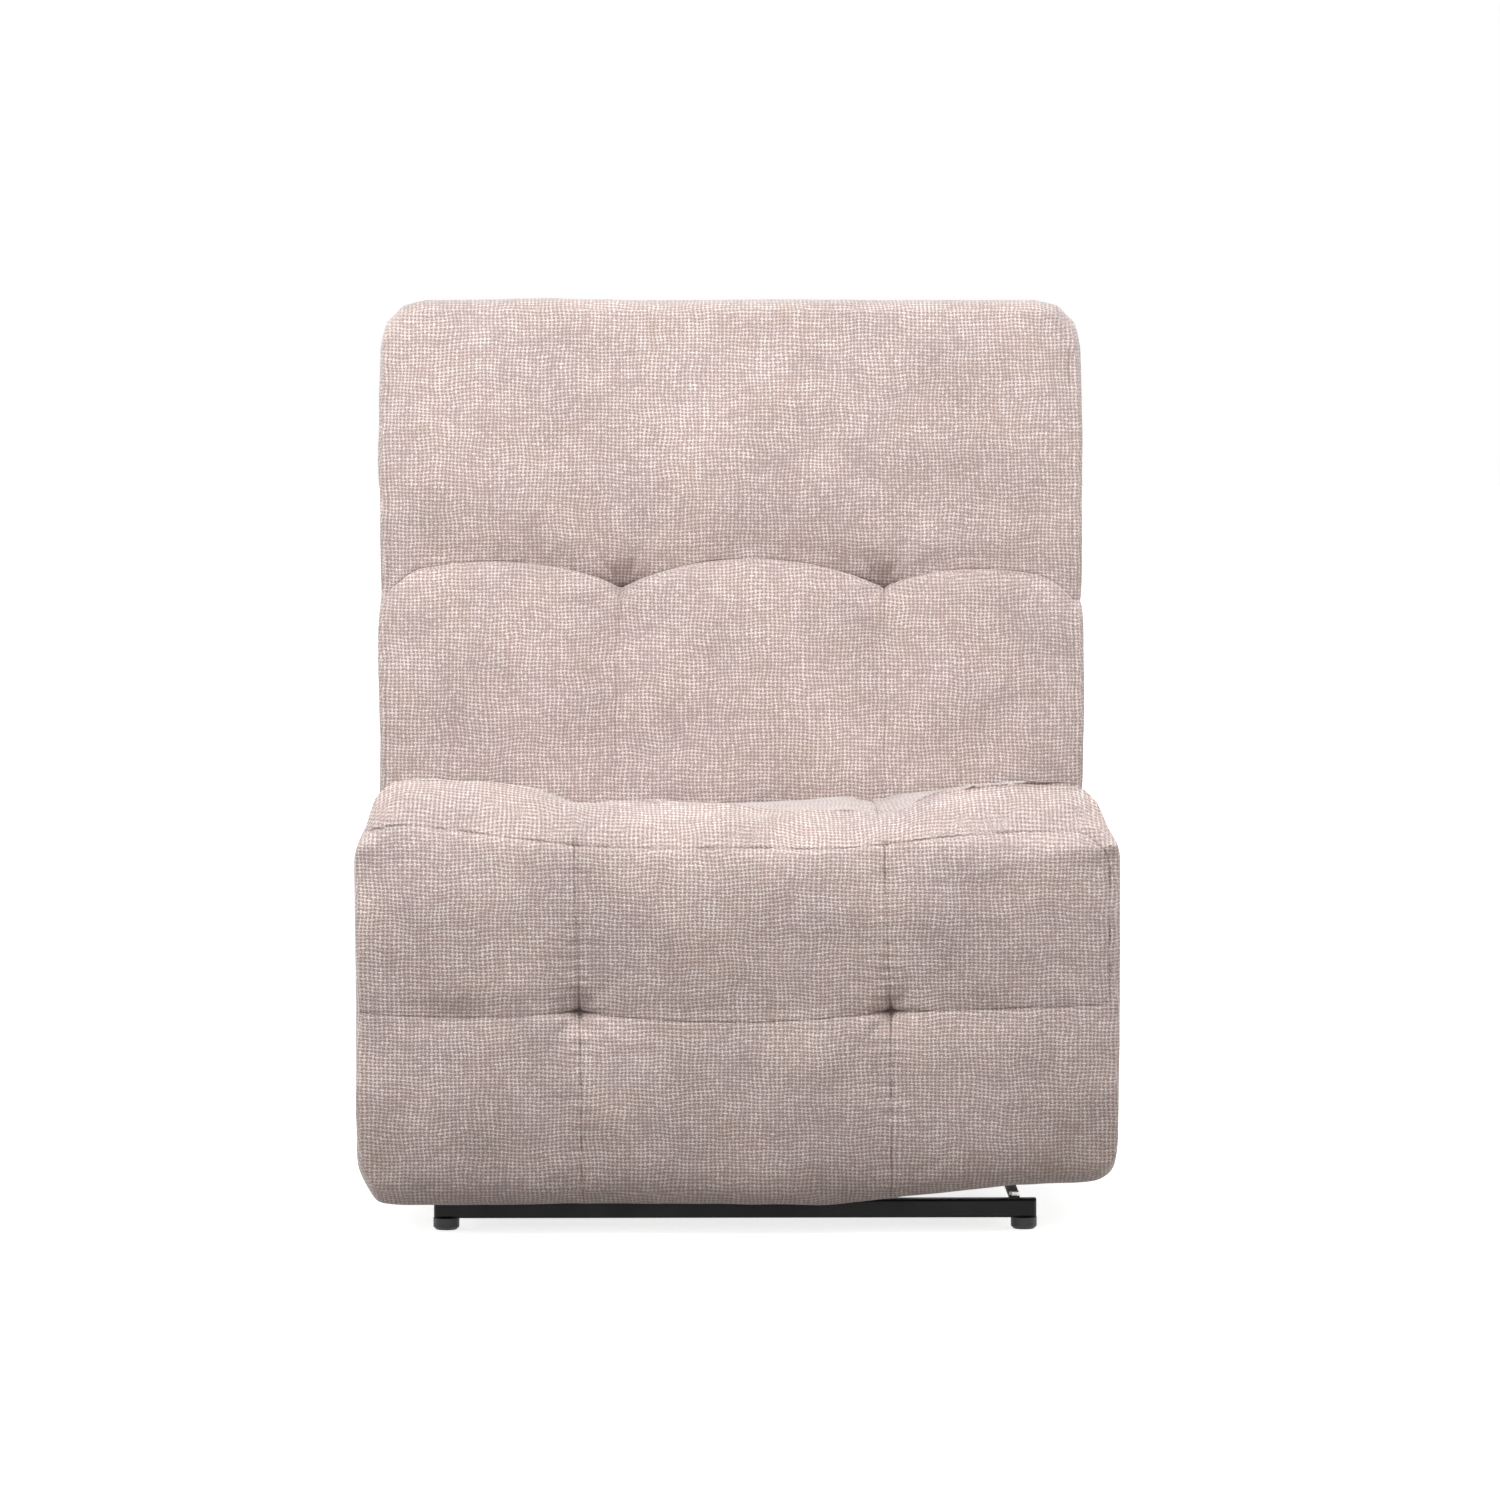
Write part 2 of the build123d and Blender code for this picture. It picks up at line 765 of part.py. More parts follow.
with BuildPart() as rear_rail:
    with BuildSketch(Plane.XZ.offset(rear_rail_face - rear_rail_thickness - datum_y)):
        with Locations((0, (front_rail_bottom + deck_height) / 2)):
            Rectangle(2 * track_half_width, deck_height - front_rail_bottom)
    extrude(amount=rear_rail_thickness)
save(rear_rail, "seat_rear_rail")

with BuildPart() as nose:
    with BuildSketch(floor_plane(nose_bottom)):
        with Locations((0, -(front_rail_rear + nose_board_front) / 2)):
            Rectangle(2 * wood_outer, nose_board_front - front_rail_rear)
    extrude(amount=nose_board)
    fillet(nose.edges().filter_by(Axis.X).group_by(Axis.Y)[0], nose_round)
save(nose, "seat_nose_board")

strap_rear = rear_rail_face - rear_rail_thickness + strap_margin
strap_front = front_rail_face - strap_margin
with BuildPart() as seat_webbing:
    with BuildSketch(floor_plane(deck_height)):
        with Locations((0, -(strap_rear + strap_front) / 2)):
            with GridLocations(webbing_pitch, 1, webbing_count, 1):
                Rectangle(webbing_width, strap_front - strap_rear)
    extrude(amount=webbing_thickness)
    with BuildSketch(floor_plane(deck_height + webbing_thickness)):
        with Locations((0, -cross_webbing_middle)):
            with GridLocations(1, cross_webbing_pitch, 1, cross_webbing_count):
                Rectangle(2 * (wood_outer - strap_margin), webbing_width)
    extrude(amount=webbing_thickness)
save(seat_webbing, "seat_webbing")

with BuildPart() as plate_screws:
    for _, side in SIDES:
        for forward in plate_screw_places:
            place = (forward, plate_screw_height)
            stud(side, place, wood_inner + screw_depth, track_half_width, plate_screw_radius)
            head_end = track_half_width - plate_screw_head_height
            stud(side, place, track_half_width, head_end, plate_screw_head_radius)
save(plate_screws, "seat_plate_screws")

# ---------------------------------------------------------------- side panels
board_inner = wood_outer
pad_inner = board_inner + side_board + seat_gap
pad_outer = pad_inner + side_pad_depth
side_top = deck_height - side_top_gap


def side_corners(draw):
    """The side panel's corners, drawn in by a distance: it slopes at the rear to clear the back."""
    return (
        (side_front - draw, side_bottom + draw),
        (side_front - draw, side_top - draw),
        (side_rear_top + draw, side_top - draw),
        (side_knee[0] + draw, side_knee[1] - draw / 2),
        (side_rear_foot[0] + draw, side_rear_foot[1] - draw / 2),
        (side_rear_foot[0] + draw, side_bottom + draw),
    )


for name, side in SIDES:
    with BuildPart() as side_panel:
        with BuildSketch(side_plane(side * board_inner)):
            with BuildLine():
                FilletPolyline(*side_corners(side_board_inset), radius=side_corner, close=True)
            make_face()
            if side == release_side:
                hole(release_place, release_shaft_radius + release_clearance)
        extrude(amount=-side * side_board)
    save(side_panel, f"side_board_{name}")

    with BuildPart() as side_pad:
        for depth, draw in rounded_depths(side_pad_depth, side_pad_bevel, side_pad_round):
            with BuildSketch(side_plane(side * (pad_inner + depth))):
                with BuildLine():
                    FilletPolyline(*side_corners(draw), radius=side_corner - draw, close=True)
                make_face()
        loft(ruled=True)
        if side == release_side:
            with BuildSketch(side_plane(side * (pad_outer - release_bezel_depth))):
                with Locations(release_bezel_place):
                    RectangleRounded(
                        release_bezel_size[0] + 2 * release_bezel_clearance,
                        release_bezel_size[1] + 2 * release_bezel_clearance,
                        release_bezel_corner,
                    )
            extrude(amount=-side * release_bezel_depth, mode=Mode.SUBTRACT)
            with BuildSketch(side_plane(side * pad_inner)):
                with Locations(release_place):
                    Circle(release_shaft_radius + release_clearance)
            extrude(amount=-side * side_pad_depth, mode=Mode.SUBTRACT)
    save(side_pad, f"side_pad_{name}")

# ---------------------------------------------------------------- release handle
bezel_inner = pad_outer - release_bezel_depth + release_bezel_clearance
bezel_outer = pad_outer + release_bezel_lip
with BuildPart() as bezel:
    with BuildSketch(side_plane(release_side * bezel_inner)):
        with Locations(release_bezel_place):
            RectangleRounded(*release_bezel_size, release_bezel_corner)
    extrude(amount=-release_side * (bezel_outer - bezel_inner))
    with BuildSketch(side_plane(release_side * (pad_outer + release_bezel_clearance))):
        with Locations(release_bezel_place):
            RectangleRounded(
                release_bezel_size[0] + 2 * release_bezel_flange,
                release_bezel_size[1] + 2 * release_bezel_flange,
                release_bezel_corner + release_bezel_flange,
            )
    extrude(amount=-release_side * (release_bezel_lip - release_bezel_clearance))
    with BuildSketch(side_plane(release_side * (bezel_inner + release_bezel_floor))):
        with Locations(release_bezel_place):
            RectangleRounded(
                release_bezel_size[0] - 2 * release_bezel_wall,
                release_bezel_size[1] - 2 * release_bezel_wall,
                release_bezel_corner - release_bezel_wall,
            )
    extrude(amount=-release_side * (bezel_outer - bezel_inner), mode=Mode.SUBTRACT)
    with BuildSketch(side_plane(release_side * bezel_inner)):
        with Locations(release_place):
            Circle(release_shaft_radius + running_gap)
    extrude(amount=-release_side * release_bezel_floor, mode=Mode.SUBTRACT)
save(bezel, "release_bezel")

paddle_inner = bezel_inner + release_bezel_floor + release_paddle_lift
paddle_outer = paddle_inner + release_paddle_thickness
with BuildPart() as paddle:
    with BuildSketch(side_plane(release_side * paddle_inner)):
        bar(
            (release_place, release_paddle_hub),
            (swung(release_place, release_paddle_length, release_paddle_rest), release_paddle_tip),
        )
        hole(release_place, release_shaft_radius + pin_fit)
    extrude(amount=-release_side * release_paddle_thickness)
    outer_face = paddle.faces().filter_by(Axis.X).sort_by(SortBy.DISTANCE)[-1]
    chamfer(outer_face.edges(), release_paddle_chamfer)
save(paddle, "release_paddle")

with BuildPart() as release_shaft:
    cam_face = layer(1)
    turn_pin(release_side, release_place, paddle_outer, cam_face, release_shaft_radius)
    with BuildSketch(side_plane(release_side * cam_face)):
        bar(
            (release_place, release_cam_radius),
            (swung(release_place, release_cam_reach, release_cam_rest), release_cam_tip),
        )
    extrude(amount=-release_side * plate)
save(release_shaft, "release_shaft")


# ---------------------------------------------------------------- seat cushion
def seat_outline(fullness, draw):
    """The seat cushion's side profile between the back and the footrest's roll."""
    foot = deck_height + 2 * webbing_thickness + seat_gap
    top = cushion_seam_top + fullness * (cushion_middle_top - cushion_seam_top) - draw
    front = cushion_front - draw / 2
    nose_foot = (front - cushion_nose_round, foot)
    nose_bend = cushion_nose_round * (1 - sin(radians(45)))
    nose_rise = (front, foot + cushion_nose_round)
    rear_top = (cushion_rear_top, top - cushion_rear_fall)
    crest = (cushion_crest, top - cushion_crest_fall)
    front_top = (front, top - cushion_front_round - cushion_crest_fall)
    front_bend = (front - cushion_front_round / 4, top - cushion_front_round / 2)
    with BuildLine() as profile:
        Polyline(nose_foot, (cushion_rear_foot, foot), rear_top)
        ThreePointArc(rear_top, ((cushion_rear_top + cushion_crest) / 2, top), crest)
        chords(crest, front_bend, front_top)
        Line(front_top, nose_rise)
        chords(nose_rise, (front - nose_bend, foot + nose_bend), nose_foot)
    make_face(profile.edges())


with BuildPart() as seat_cushion:
    side_fullness = (cushion_side_top - cushion_seam_top) / (cushion_middle_top - cushion_seam_top)
    across(
        columns(cushion_half_width, cushion_seams, cushion_shoulder, cushion_edge_draw, side_fullness),
        seat_outline,
    )
save(seat_cushion, "seat_cushion")

# ---------------------------------------------------------------- back frame
frame_rear = back_frame_face - back_frame_thickness
frame_middle = frame_rear + back_frame_thickness / 2
stile_middle = (stile_inner + stile_outer) / 2


for name, side in SIDES:
    with BuildPart() as back_bracket:
        with BuildSketch(side_plane(side * layer(1))):
            bar((back_pivot, back_pivot_eye), (back_crank_end, eye_radius))
            step = in_back(frame_middle, back_bracket_step)
            bar((back_pivot, back_pivot_eye), (step, back_bracket_half))
            bar((step, back_bracket_half), (in_back(frame_middle, back_bracket_top), back_bracket_half))
            hole(back_pivot, running_hole)
            for up in back_screw_places:
                screw_hole(in_back(frame_middle, up))
        extrude(amount=-side * plate)
        staked_pin(side, back_crank_end, 1, 3)
    save(back_bracket, f"back_bracket_{name}")

    with BuildPart() as back_link:
        with BuildSketch(side_plane(side * layer(3))):
            bar((back_link_foot, eye_radius), (back_crank_end, eye_radius))
            hole(back_link_foot, running_hole)
            hole(back_crank_end, pin_radius + back_link_slack)
        extrude(amount=-side * plate)
    save(back_link, f"back_link_{name}")

    with BuildPart() as stile:
        with BuildSketch(back_plane(frame_rear)):
            with Locations((side * stile_middle, (back_frame_bottom + back_frame_top) / 2)):
                Rectangle(stile_outer - stile_inner, back_frame_top - back_frame_bottom)
        extrude(amount=back_frame_thickness)
        with BuildSketch(side_plane(side * stile_inner)):
            for up in back_screw_places:
                with Locations(in_back(frame_middle, up)):
                    RegularPolygon(plate_screw_radius + pin_fit, small_sides)
        extrude(amount=-side * screw_depth, mode=Mode.SUBTRACT)
    save(stile, f"back_stile_{name}")

for name, half_length, low in (
    ("top", stile_inner, back_frame_top - back_rail_height),
    ("bottom", layer(1) - seat_gap, back_frame_bottom),
):
    with BuildPart() as cross_rail:
        with BuildSketch(back_plane(frame_rear)):
            with Locations((0, low + back_rail_height / 2)):
                Rectangle(2 * half_length, back_rail_height)
        extrude(amount=back_frame_thickness)
    save(cross_rail, f"back_{name}_rail")

with BuildPart() as back_screws:
    for _, side in SIDES:
        for up in back_screw_places:
            place = in_back(frame_middle, up)
            stud(side, place, stile_inner + screw_depth, layer(1), plate_screw_radius)
            head_end = layer(1) - plate_screw_head_height
            stud(side, place, layer(1), head_end, plate_screw_head_radius)
save(back_screws, "back_bracket_screws")

with BuildPart() as back_webbing:
    with BuildSketch(back_plane(back_frame_face)):
        with Locations((0, back_webbing_middle)):
            with GridLocations(1, back_webbing_pitch, 1, back_webbing_count):
                Rectangle(2 * (stile_inner + strap_margin * 2), webbing_width)
    extrude(amount=webbing_thickness)
save(back_webbing, "back_webbing")

panel_rear = frame_rear - back_panel_thickness
with BuildPart() as back_panel:
    with BuildSketch(back_plane(panel_rear)):
        with Locations((0, (back_frame_bottom + back_frame_top) / 2)):
            Rectangle(2 * stile_outer, back_frame_top - back_frame_bottom)
    extrude(amount=back_panel_thickness)
save(back_panel, "back_panel")

# ---------------------------------------------------------------- back upholstery
pad_face = panel_rear - seat_gap
with BuildPart() as back_pad:
    for depth, draw in rounded_depths(back_pad_thickness, back_pad_bevel, back_pad_round):
        with BuildSketch(back_plane(pad_face - depth)):
            with Locations((0, (back_bottom + back_cover_top) / 2)):
                RectangleRounded(
                    2 * (back_half_width - draw),
                    back_cover_top - back_bottom - 2 * draw,
                    back_pad_corner - draw,
                )
    loft(ruled=True)
save(back_pad, "back_rear_pad")

band_middle = stile_outer + seat_gap + band_thickness / 2
for name, side in SIDES:
    with BuildPart() as band:
        with BuildSketch(back_plane(panel_rear)):
            with Locations((side * band_middle, (back_frame_bottom + back_frame_top) / 2)):
                Rectangle(band_thickness, back_frame_top - back_frame_bottom)
        extrude(amount=back_frame_face - panel_rear)
    save(band, f"back_band_{name}")

with BuildPart() as top_band:
    with BuildSketch(back_plane(panel_rear)):
        with Locations((0, back_frame_top + seat_gap + band_thickness / 2)):
            Rectangle(2 * stile_outer, band_thickness)
    extrude(amount=back_frame_face - panel_rear)
save(top_band, "back_band_top")


def back_outline(fullness, draw):
    """The back cushion's side profile: a stuffed lumbar row, a sewn line, and a tall headrest panel."""
    rear = back_frame_face + webbing_thickness + seat_gap
    face = back_face - draw
    lumbar = face - (1 - fullness) * back_channel_depth
    low = back_bottom + draw / 4
    top = back_top - draw * back_corner / back_edge_draw
    seam = (face - back_seam_depth - (1 - fullness) * back_channel_depth / 2, back_seam_height)
    shoulder = (face - back_shoulder, top - back_shoulder)
    crest = (rear + back_crest * (back_face - rear), top)
    chin = (face - back_chin, low)
    with BuildLine() as profile:
        Polyline(
            in_back(*crest),
            in_back(rear, top - back_crest_fall),
            in_back(rear, low),
            in_back(*chin),
        )
        ThreePointArc(in_back(*chin), in_back(lumbar, (low + seam[1]) / 2), in_back(*seam))
        ThreePointArc(
            in_back(*seam), in_back(face - back_head_fall, (seam[1] + shoulder[1]) / 2), in_back(*shoulder)
        )
        chords(
            in_back(*shoulder),
            in_back((shoulder[0] + crest[0]) / 2 + back_shoulder / 6, top - back_shoulder / 5),
            in_back(*crest),
        )
    make_face(profile.edges())


with BuildPart() as back_cushion:
    across(columns(back_half_width, back_seams, back_corner, back_edge_draw), back_outline)
save(back_cushion, "back_cushion")
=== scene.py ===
"""Armless recliner: upholstery, materials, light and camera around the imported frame.

Metres, +Z up, the front faces -Y.  Each stuffed piece starts as its solid's form, is filled by a
cloth simulation with its sewn lines held, and then gets its creases, tufts and puckers.
"""

import json
from math import cos, pi, radians, sin

import bmesh
import bpy
import numpy as np
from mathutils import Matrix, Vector


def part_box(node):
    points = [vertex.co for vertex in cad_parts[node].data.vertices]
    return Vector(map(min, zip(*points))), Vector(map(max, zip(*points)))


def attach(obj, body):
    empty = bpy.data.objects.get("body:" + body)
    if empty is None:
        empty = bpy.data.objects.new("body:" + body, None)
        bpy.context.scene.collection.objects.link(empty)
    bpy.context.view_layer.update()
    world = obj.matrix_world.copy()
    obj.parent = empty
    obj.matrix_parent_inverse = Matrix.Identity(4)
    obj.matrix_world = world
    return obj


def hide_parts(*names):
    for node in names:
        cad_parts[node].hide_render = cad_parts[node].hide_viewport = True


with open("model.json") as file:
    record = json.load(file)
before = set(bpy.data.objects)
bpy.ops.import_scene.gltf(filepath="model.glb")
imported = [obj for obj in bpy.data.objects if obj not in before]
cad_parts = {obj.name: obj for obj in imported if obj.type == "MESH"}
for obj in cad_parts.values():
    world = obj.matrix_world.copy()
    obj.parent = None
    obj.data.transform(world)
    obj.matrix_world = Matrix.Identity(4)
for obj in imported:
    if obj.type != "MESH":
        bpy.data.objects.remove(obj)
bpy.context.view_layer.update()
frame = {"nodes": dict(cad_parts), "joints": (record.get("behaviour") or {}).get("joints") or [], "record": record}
nodes = frame["nodes"]

# ---------------------------------------------------------------- sizes
pad_low, pad_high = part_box("footrest_pad")
seat_low, seat_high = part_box("seat_cushion")
back_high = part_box("back_cushion")[1]
back_joint = next(j for j in frame["joints"] if j["name"] == "back_recline")
back_pivot = Vector(back_joint["pos_m"])
back_lean = radians(15)

voxel = 0.006
panel_voxel = 0.008
sim_frames = 20
stuffing_pressure = 4.0
hold_levels = 5

# Footrest pad: the upright seams' x at the middle line, and the heights of the lines on its face.
pad_seams = (-0.1665, 0.1622)
pad_seam_lean = 0.0225
pad_middle = 0.242
pad_row_rise = 0.0345
pad_roll_low = 0.418
pad_corner_x = 0.3535
pad_corner_radius = 0.0445
# The solid's own groove, which is moved on to the roll's line.
pad_groove_low = 0.428
pad_groove_rise = 0.020
# How far the grooves drawn in the solid are filled out again before the simulation.
pad_row_fill = 0.006
pad_column_fill = 0.005
# The roll leans back by roll_slope over roll_rise of height, and the face bows by pad_bow.
roll_rise = 0.050
roll_slope = 0.060
pad_bow = 0.014
foot_rise = 0.0215
foot_drop = 0.0035
pad_side_seam = 0.030

seat_seams = (-0.150, 0.158)
seat_settle = 0.018
seat_edge_inset = 0.014

# Back cushion, with heights measured up along the leaning back from its pivot.
back_seams = (-0.131, 0.174)
back_tufts = (-0.1237, 0.1745)
back_groove = 0.390
back_tuft_height = 0.3745
back_edge_inset = 0.011
shelf_depth, shelf_fall = 0.008, 0.030

crease_width = 0.0045
warp_pitch = 0.0045
weft_pitch = 0.0039
stitch_pitch = 0.0052
thread_wander = 0.014
thread_speckle = 0.32
# Half-widths of a sewn line's dark mark, and of the wider painted shade it takes round a tuft.
seam_half_width, pulled_half_width = 0.0016, 0.0030

# How firmly a boxed side is held in the simulation, and how far a sewn line's hold reaches.
boxed_hold = 0.7
pad_hold_reach, cushion_hold_reach = 0.007, 0.008

# A band's points round its section, and the length of its steps.
band_ring = 28
band_step = 0.012

wave_seed = 7
wave_count = 12
wave_level = 3.5
random = np.random.default_rng(wave_seed)
wave_directions = random.normal(size=(wave_count, 3))
wave_directions /= np.linalg.norm(wave_directions, axis=1)[:, None]
wave_phases = random.uniform(0, 2 * pi, wave_count)


# ---------------------------------------------------------------- numbers on points
def undulation(points, length):
    """A smooth, seeded wander between about -1 and 1 with a given wavelength."""
    total = np.zeros(len(points))
    for direction, phase in zip(wave_directions, wave_phases):
        total += np.sin(points @ direction * (2 * pi / length) + phase)
    return total / wave_level


def smooth(low, high, value):
    """0 up to low, 1 from high, and an even curve between."""
    share = np.clip((value - low) / (high - low), 0, 1)
    return share * share * (3 - 2 * share)


def bump(value, middle, width):
    """A bell of height 1 round a middle."""
    return np.exp(-(((value - middle) / width) ** 2))


def coordinates(mesh):
    points = np.empty(len(mesh.vertices) * 3, np.float32)
    mesh.vertices.foreach_get("co", points)
    return points.reshape(-1, 3).astype(float)


def normals(mesh):
    values = np.empty(len(mesh.vertices) * 3, np.float32)
    mesh.vertices.foreach_get("normal", values)
    return values.reshape(-1, 3).astype(float)


def move_points(mesh, points):
    mesh.vertices.foreach_set("co", points.astype(np.float32).ravel())
    mesh.update()


def into_back(points):
    """Points as (x, out towards the sitter, up along the leaning back)."""
    forward = back_pivot.y - points[:, 1]
    up = points[:, 2] - back_pivot.z
    out = forward * cos(back_lean) + up * sin(back_lean)
    along = -forward * sin(back_lean) + up * cos(back_lean)
    return np.stack([points[:, 0], out, along], axis=1)


def from_back(points):
    forward = points[:, 1] * cos(back_lean) - points[:, 2] * sin(back_lean)
    up = points[:, 1] * sin(back_lean) + points[:, 2] * cos(back_lean)
    return np.stack([points[:, 0], back_pivot.y - forward, back_pivot.z + up], axis=1)


# ---------------------------------------------------------------- mesh steps
def copied(node, name):
    """A new object with a joined-up copy of a node's mesh."""
    mesh = nodes[node].data.copy()
    mesh.name = name
    piece = bpy.data.objects.new(name, mesh)
    bpy.context.scene.collection.objects.link(piece)
    work = bmesh.new()
    work.from_mesh(mesh)
    bmesh.ops.remove_doubles(work, verts=work.verts, dist=1e-5)
    bmesh.ops.recalc_face_normals(work, faces=work.faces)
    work.to_mesh(mesh)
    work.free()
    return piece


def apply_modifiers(piece):
    graph = bpy.context.evaluated_depsgraph_get()
    mesh = bpy.data.meshes.new_from_object(piece.evaluated_get(graph))
    mesh.name = piece.name
    piece.modifiers.clear()
    piece.data = mesh


def remeshed(piece, size=voxel):
    modifier = piece.modifiers.new("remesh", "REMESH")
    modifier.mode = "VOXEL"
    modifier.voxel_size = size
    apply_modifiers(piece)


def subdivided(piece):
    modifier = piece.modifiers.new("subdivision", "SUBSURF")
    modifier.levels = 1
    modifier.render_levels = 1
    apply_modifiers(piece)


def eased(piece, rounds, factor=0.5):
    modifier = piece.modifiers.new("ease", "SMOOTH")
    modifier.iterations = rounds
    modifier.factor = factor
    apply_modifiers(piece)


def stuffed(piece, held, slack, cap):
    """Fill a piece by cloth pressure.

    held is each point's hold from 0 to 1, slack how far the loose parts are first drawn in, and cap
    how far a point may then swell.
    """
    start = coordinates(piece.data)
    drawn = start - normals(piece.data) * (slack * (1 - held))[:, None]
    move_points(piece.data, drawn)
    group = piece.vertex_groups.new(name="held")
    half_step = 0.5 / hold_levels
    for level in range(1, hold_levels + 1):
        weight = level / hold_levels
        chosen = np.nonzero((held > weight - half_step) & (held <= weight + half_step))[0]
        group.add(chosen.tolist(), weight, "REPLACE")
    cloth = piece.modifiers.new("cloth", "CLOTH")
    cloth.settings.quality = 2
    cloth.settings.mass = 0.3
    cloth.settings.tension_stiffness = 12
    cloth.settings.compression_stiffness = 12
    cloth.settings.shear_stiffness = 6
    cloth.settings.bending_stiffness = 0.8
    cloth.settings.use_pressure = True
    cloth.settings.uniform_pressure_force = stuffing_pressure
    cloth.settings.vertex_group_mass = "held"
    cloth.settings.effector_weights.gravity = 0
    cloth.collision_settings.use_collision = False
    cloth.point_cache.frame_start = 1
    cloth.point_cache.frame_end = sim_frames
    scene = bpy.context.scene
    for number in range(1, sim_frames + 1):
        scene.frame_set(number)
    apply_modifiers(piece)
    scene.frame_set(1)
    piece.vertex_groups.clear()
    swell = coordinates(piece.data) - drawn
    length = np.linalg.norm(swell, axis=1)
    limit = cap * np.tanh(length / cap)
    move_points(piece.data, drawn + swell * (limit / np.maximum(length, 1e-9))[:, None])


def mark_seams(piece, **fields):
    """Keep signed distances to the sewn lines, and where each line runs, as values on the points."""
    for name, values in fields.items():
        attribute = piece.data.attributes.new(name, "FLOAT", "POINT")
        attribute.data.foreach_set("value", values.astype(np.float32))


def nearest(value, places):
    """The signed distance to the nearest of some places."""
    distances = np.stack([value - place for place in places])
    return np.take_along_axis(distances, np.abs(distances).argmin(axis=0)[None], axis=0)[0]


def finished(piece, body, material, *replaced, fill=0.8):
    for polygon in piece.data.polygons:
        polygon.use_smooth = True
    piece.data.materials.clear()
    piece.data.materials.append(material)
    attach(piece, body)
    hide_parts(*replaced)


# ---------------------------------------------------------------- sewn lines
def crease(distance, depth, width=crease_width):
    """How far a sewn line draws the cloth in: a sharp fold in a soft valley four times as wide."""
    fold = np.exp(-((distance / width) ** 2))
    valley = np.exp(-((distance / (4 * width)) ** 2))
    return depth * (0.5 * fold + 0.5 * valley)


def puckers(distance, along, size, pitch=0.013, reach=0.016):
    """The small gathers that run across a sewn line."""
    ripple = np.sin(2 * pi * along / pitch + 2.0 * np.sin(along / pitch * 0.9))
    return size * ripple * np.exp(-distance / reach)


def tuft(across, up, deep, reach=0.018, folds=6, fold_reach=0.034):
    """A pulled tuft: a round dimple with folds that run out of it."""
    radius = np.hypot(across, up)
    angle = np.arctan2(up, across)
    ray = 0.0016 * np.cos(folds * angle + 0.7) * np.exp(-radius / fold_reach) * smooth(0.002, 0.014, radius)
    dimple = np.exp(-((radius / reach) ** 2))
    pit = np.exp(-radius / 0.007)
    return deep * (0.55 * dimple + 0.45 * pit) + ray


# ---------------------------------------------------------------- materials
cloth_tan = (0.62, 0.49, 0.43)
cloth_mauve = (0.57, 0.46, 0.45)
cloth_grey = (0.50, 0.42, 0.40)
cloth_light = (0.83, 0.73, 0.70)
# Painted shade in the gaps between the threads.
weave_gap_shade = (0.34, 0.26, 0.245)
# The dark of the sewn lines: partly thread, partly painted shade in their creases and round the tufts.
seam_shadow = (0.13, 0.095, 0.085)
coat_black = (0.006, 0.006, 0.007)
steel_black = (0.030, 0.030, 0.032)
rubbed_metal = (0.32, 0.31, 0.30)
zinc_grey, zinc_yellow = (0.50, 0.50, 0.49), (0.62, 0.60, 0.52)
plastic_black, plastic_scuffed = (0.016, 0.016, 0.017), (0.05, 0.05, 0.05)
wood_light, wood_dark, wood_pore = (0.60, 0.44, 0.28), (0.46, 0.31, 0.18), (0.30, 0.19, 0.10)
strap_dark, strap_light = (0.10, 0.085, 0.07), (0.26, 0.22, 0.17)


def new_material(name):
    material = bpy.data.materials.new(name)
    material.use_nodes = True
    tree = material.node_tree
    return material, tree, tree.nodes["Principled BSDF"]


def math_node(tree, operation, first, second=None):
    node = tree.nodes.new("ShaderNodeMath")
    node.operation = operation
    for socket, value in zip(node.inputs, (first, second)):
        if value is None:
            continue
        if isinstance(value, (int, float)):
            socket.default_value = value
        else:
            tree.links.new(value, socket)
    return node.outputs[0]


def mixed(tree, share, first, second):
    node = tree.nodes.new("ShaderNodeMix")
    node.data_type = "RGBA"
    for socket, value in ((node.inputs[0], share), (node.inputs[6], first), (node.inputs[7], second)):
        if isinstance(value, tuple):
            socket.default_value = (*value, 1)
        elif isinstance(value, (int, float)):
            socket.default_value = value
        else:
            tree.links.new(value, socket)
    return node.outputs[2]


def noise(tree, vector, scale, detail=2.0, roughness=0.5):
    node = tree.nodes.new("ShaderNodeTexNoise")
    node.inputs["Scale"].default_value = scale
    node.inputs["Detail"].default_value = detail
    node.inputs["Roughness"].default_value = roughness
    tree.links.new(vector, node.inputs["Vector"])
    return node.outputs["Fac"]


def stretched(tree, vector, scale):
    node = tree.nodes.new("ShaderNodeVectorMath")
    node.operation = "MULTIPLY"
    tree.links.new(vector, node.inputs[0])
    node.inputs[1].default_value = scale
    return node.outputs[0]


def ramp(tree, value, low, high, start=0.0, end=1.0):
    node = tree.nodes.new("ShaderNodeMapRange")
    node.inputs["From Min"].default_value = low
    node.inputs["From Max"].default_value = high
    node.inputs["To Min"].default_value = start
    node.inputs["To Max"].default_value = end
    tree.links.new(value, node.inputs["Value"])
    return node.outputs["Result"]


def bumped(tree, height, strength, distance):
    node = tree.nodes.new("ShaderNodeBump")
    node.inputs["Strength"].default_value = strength
    node.inputs["Distance"].default_value = distance
    tree.links.new(height, node.inputs["Height"])
    return node.outputs["Normal"]


def object_place(tree):
    """Texture coordinates, of which only the object's own place and normal are used."""
    return tree.nodes.new("ShaderNodeTexCoord").outputs


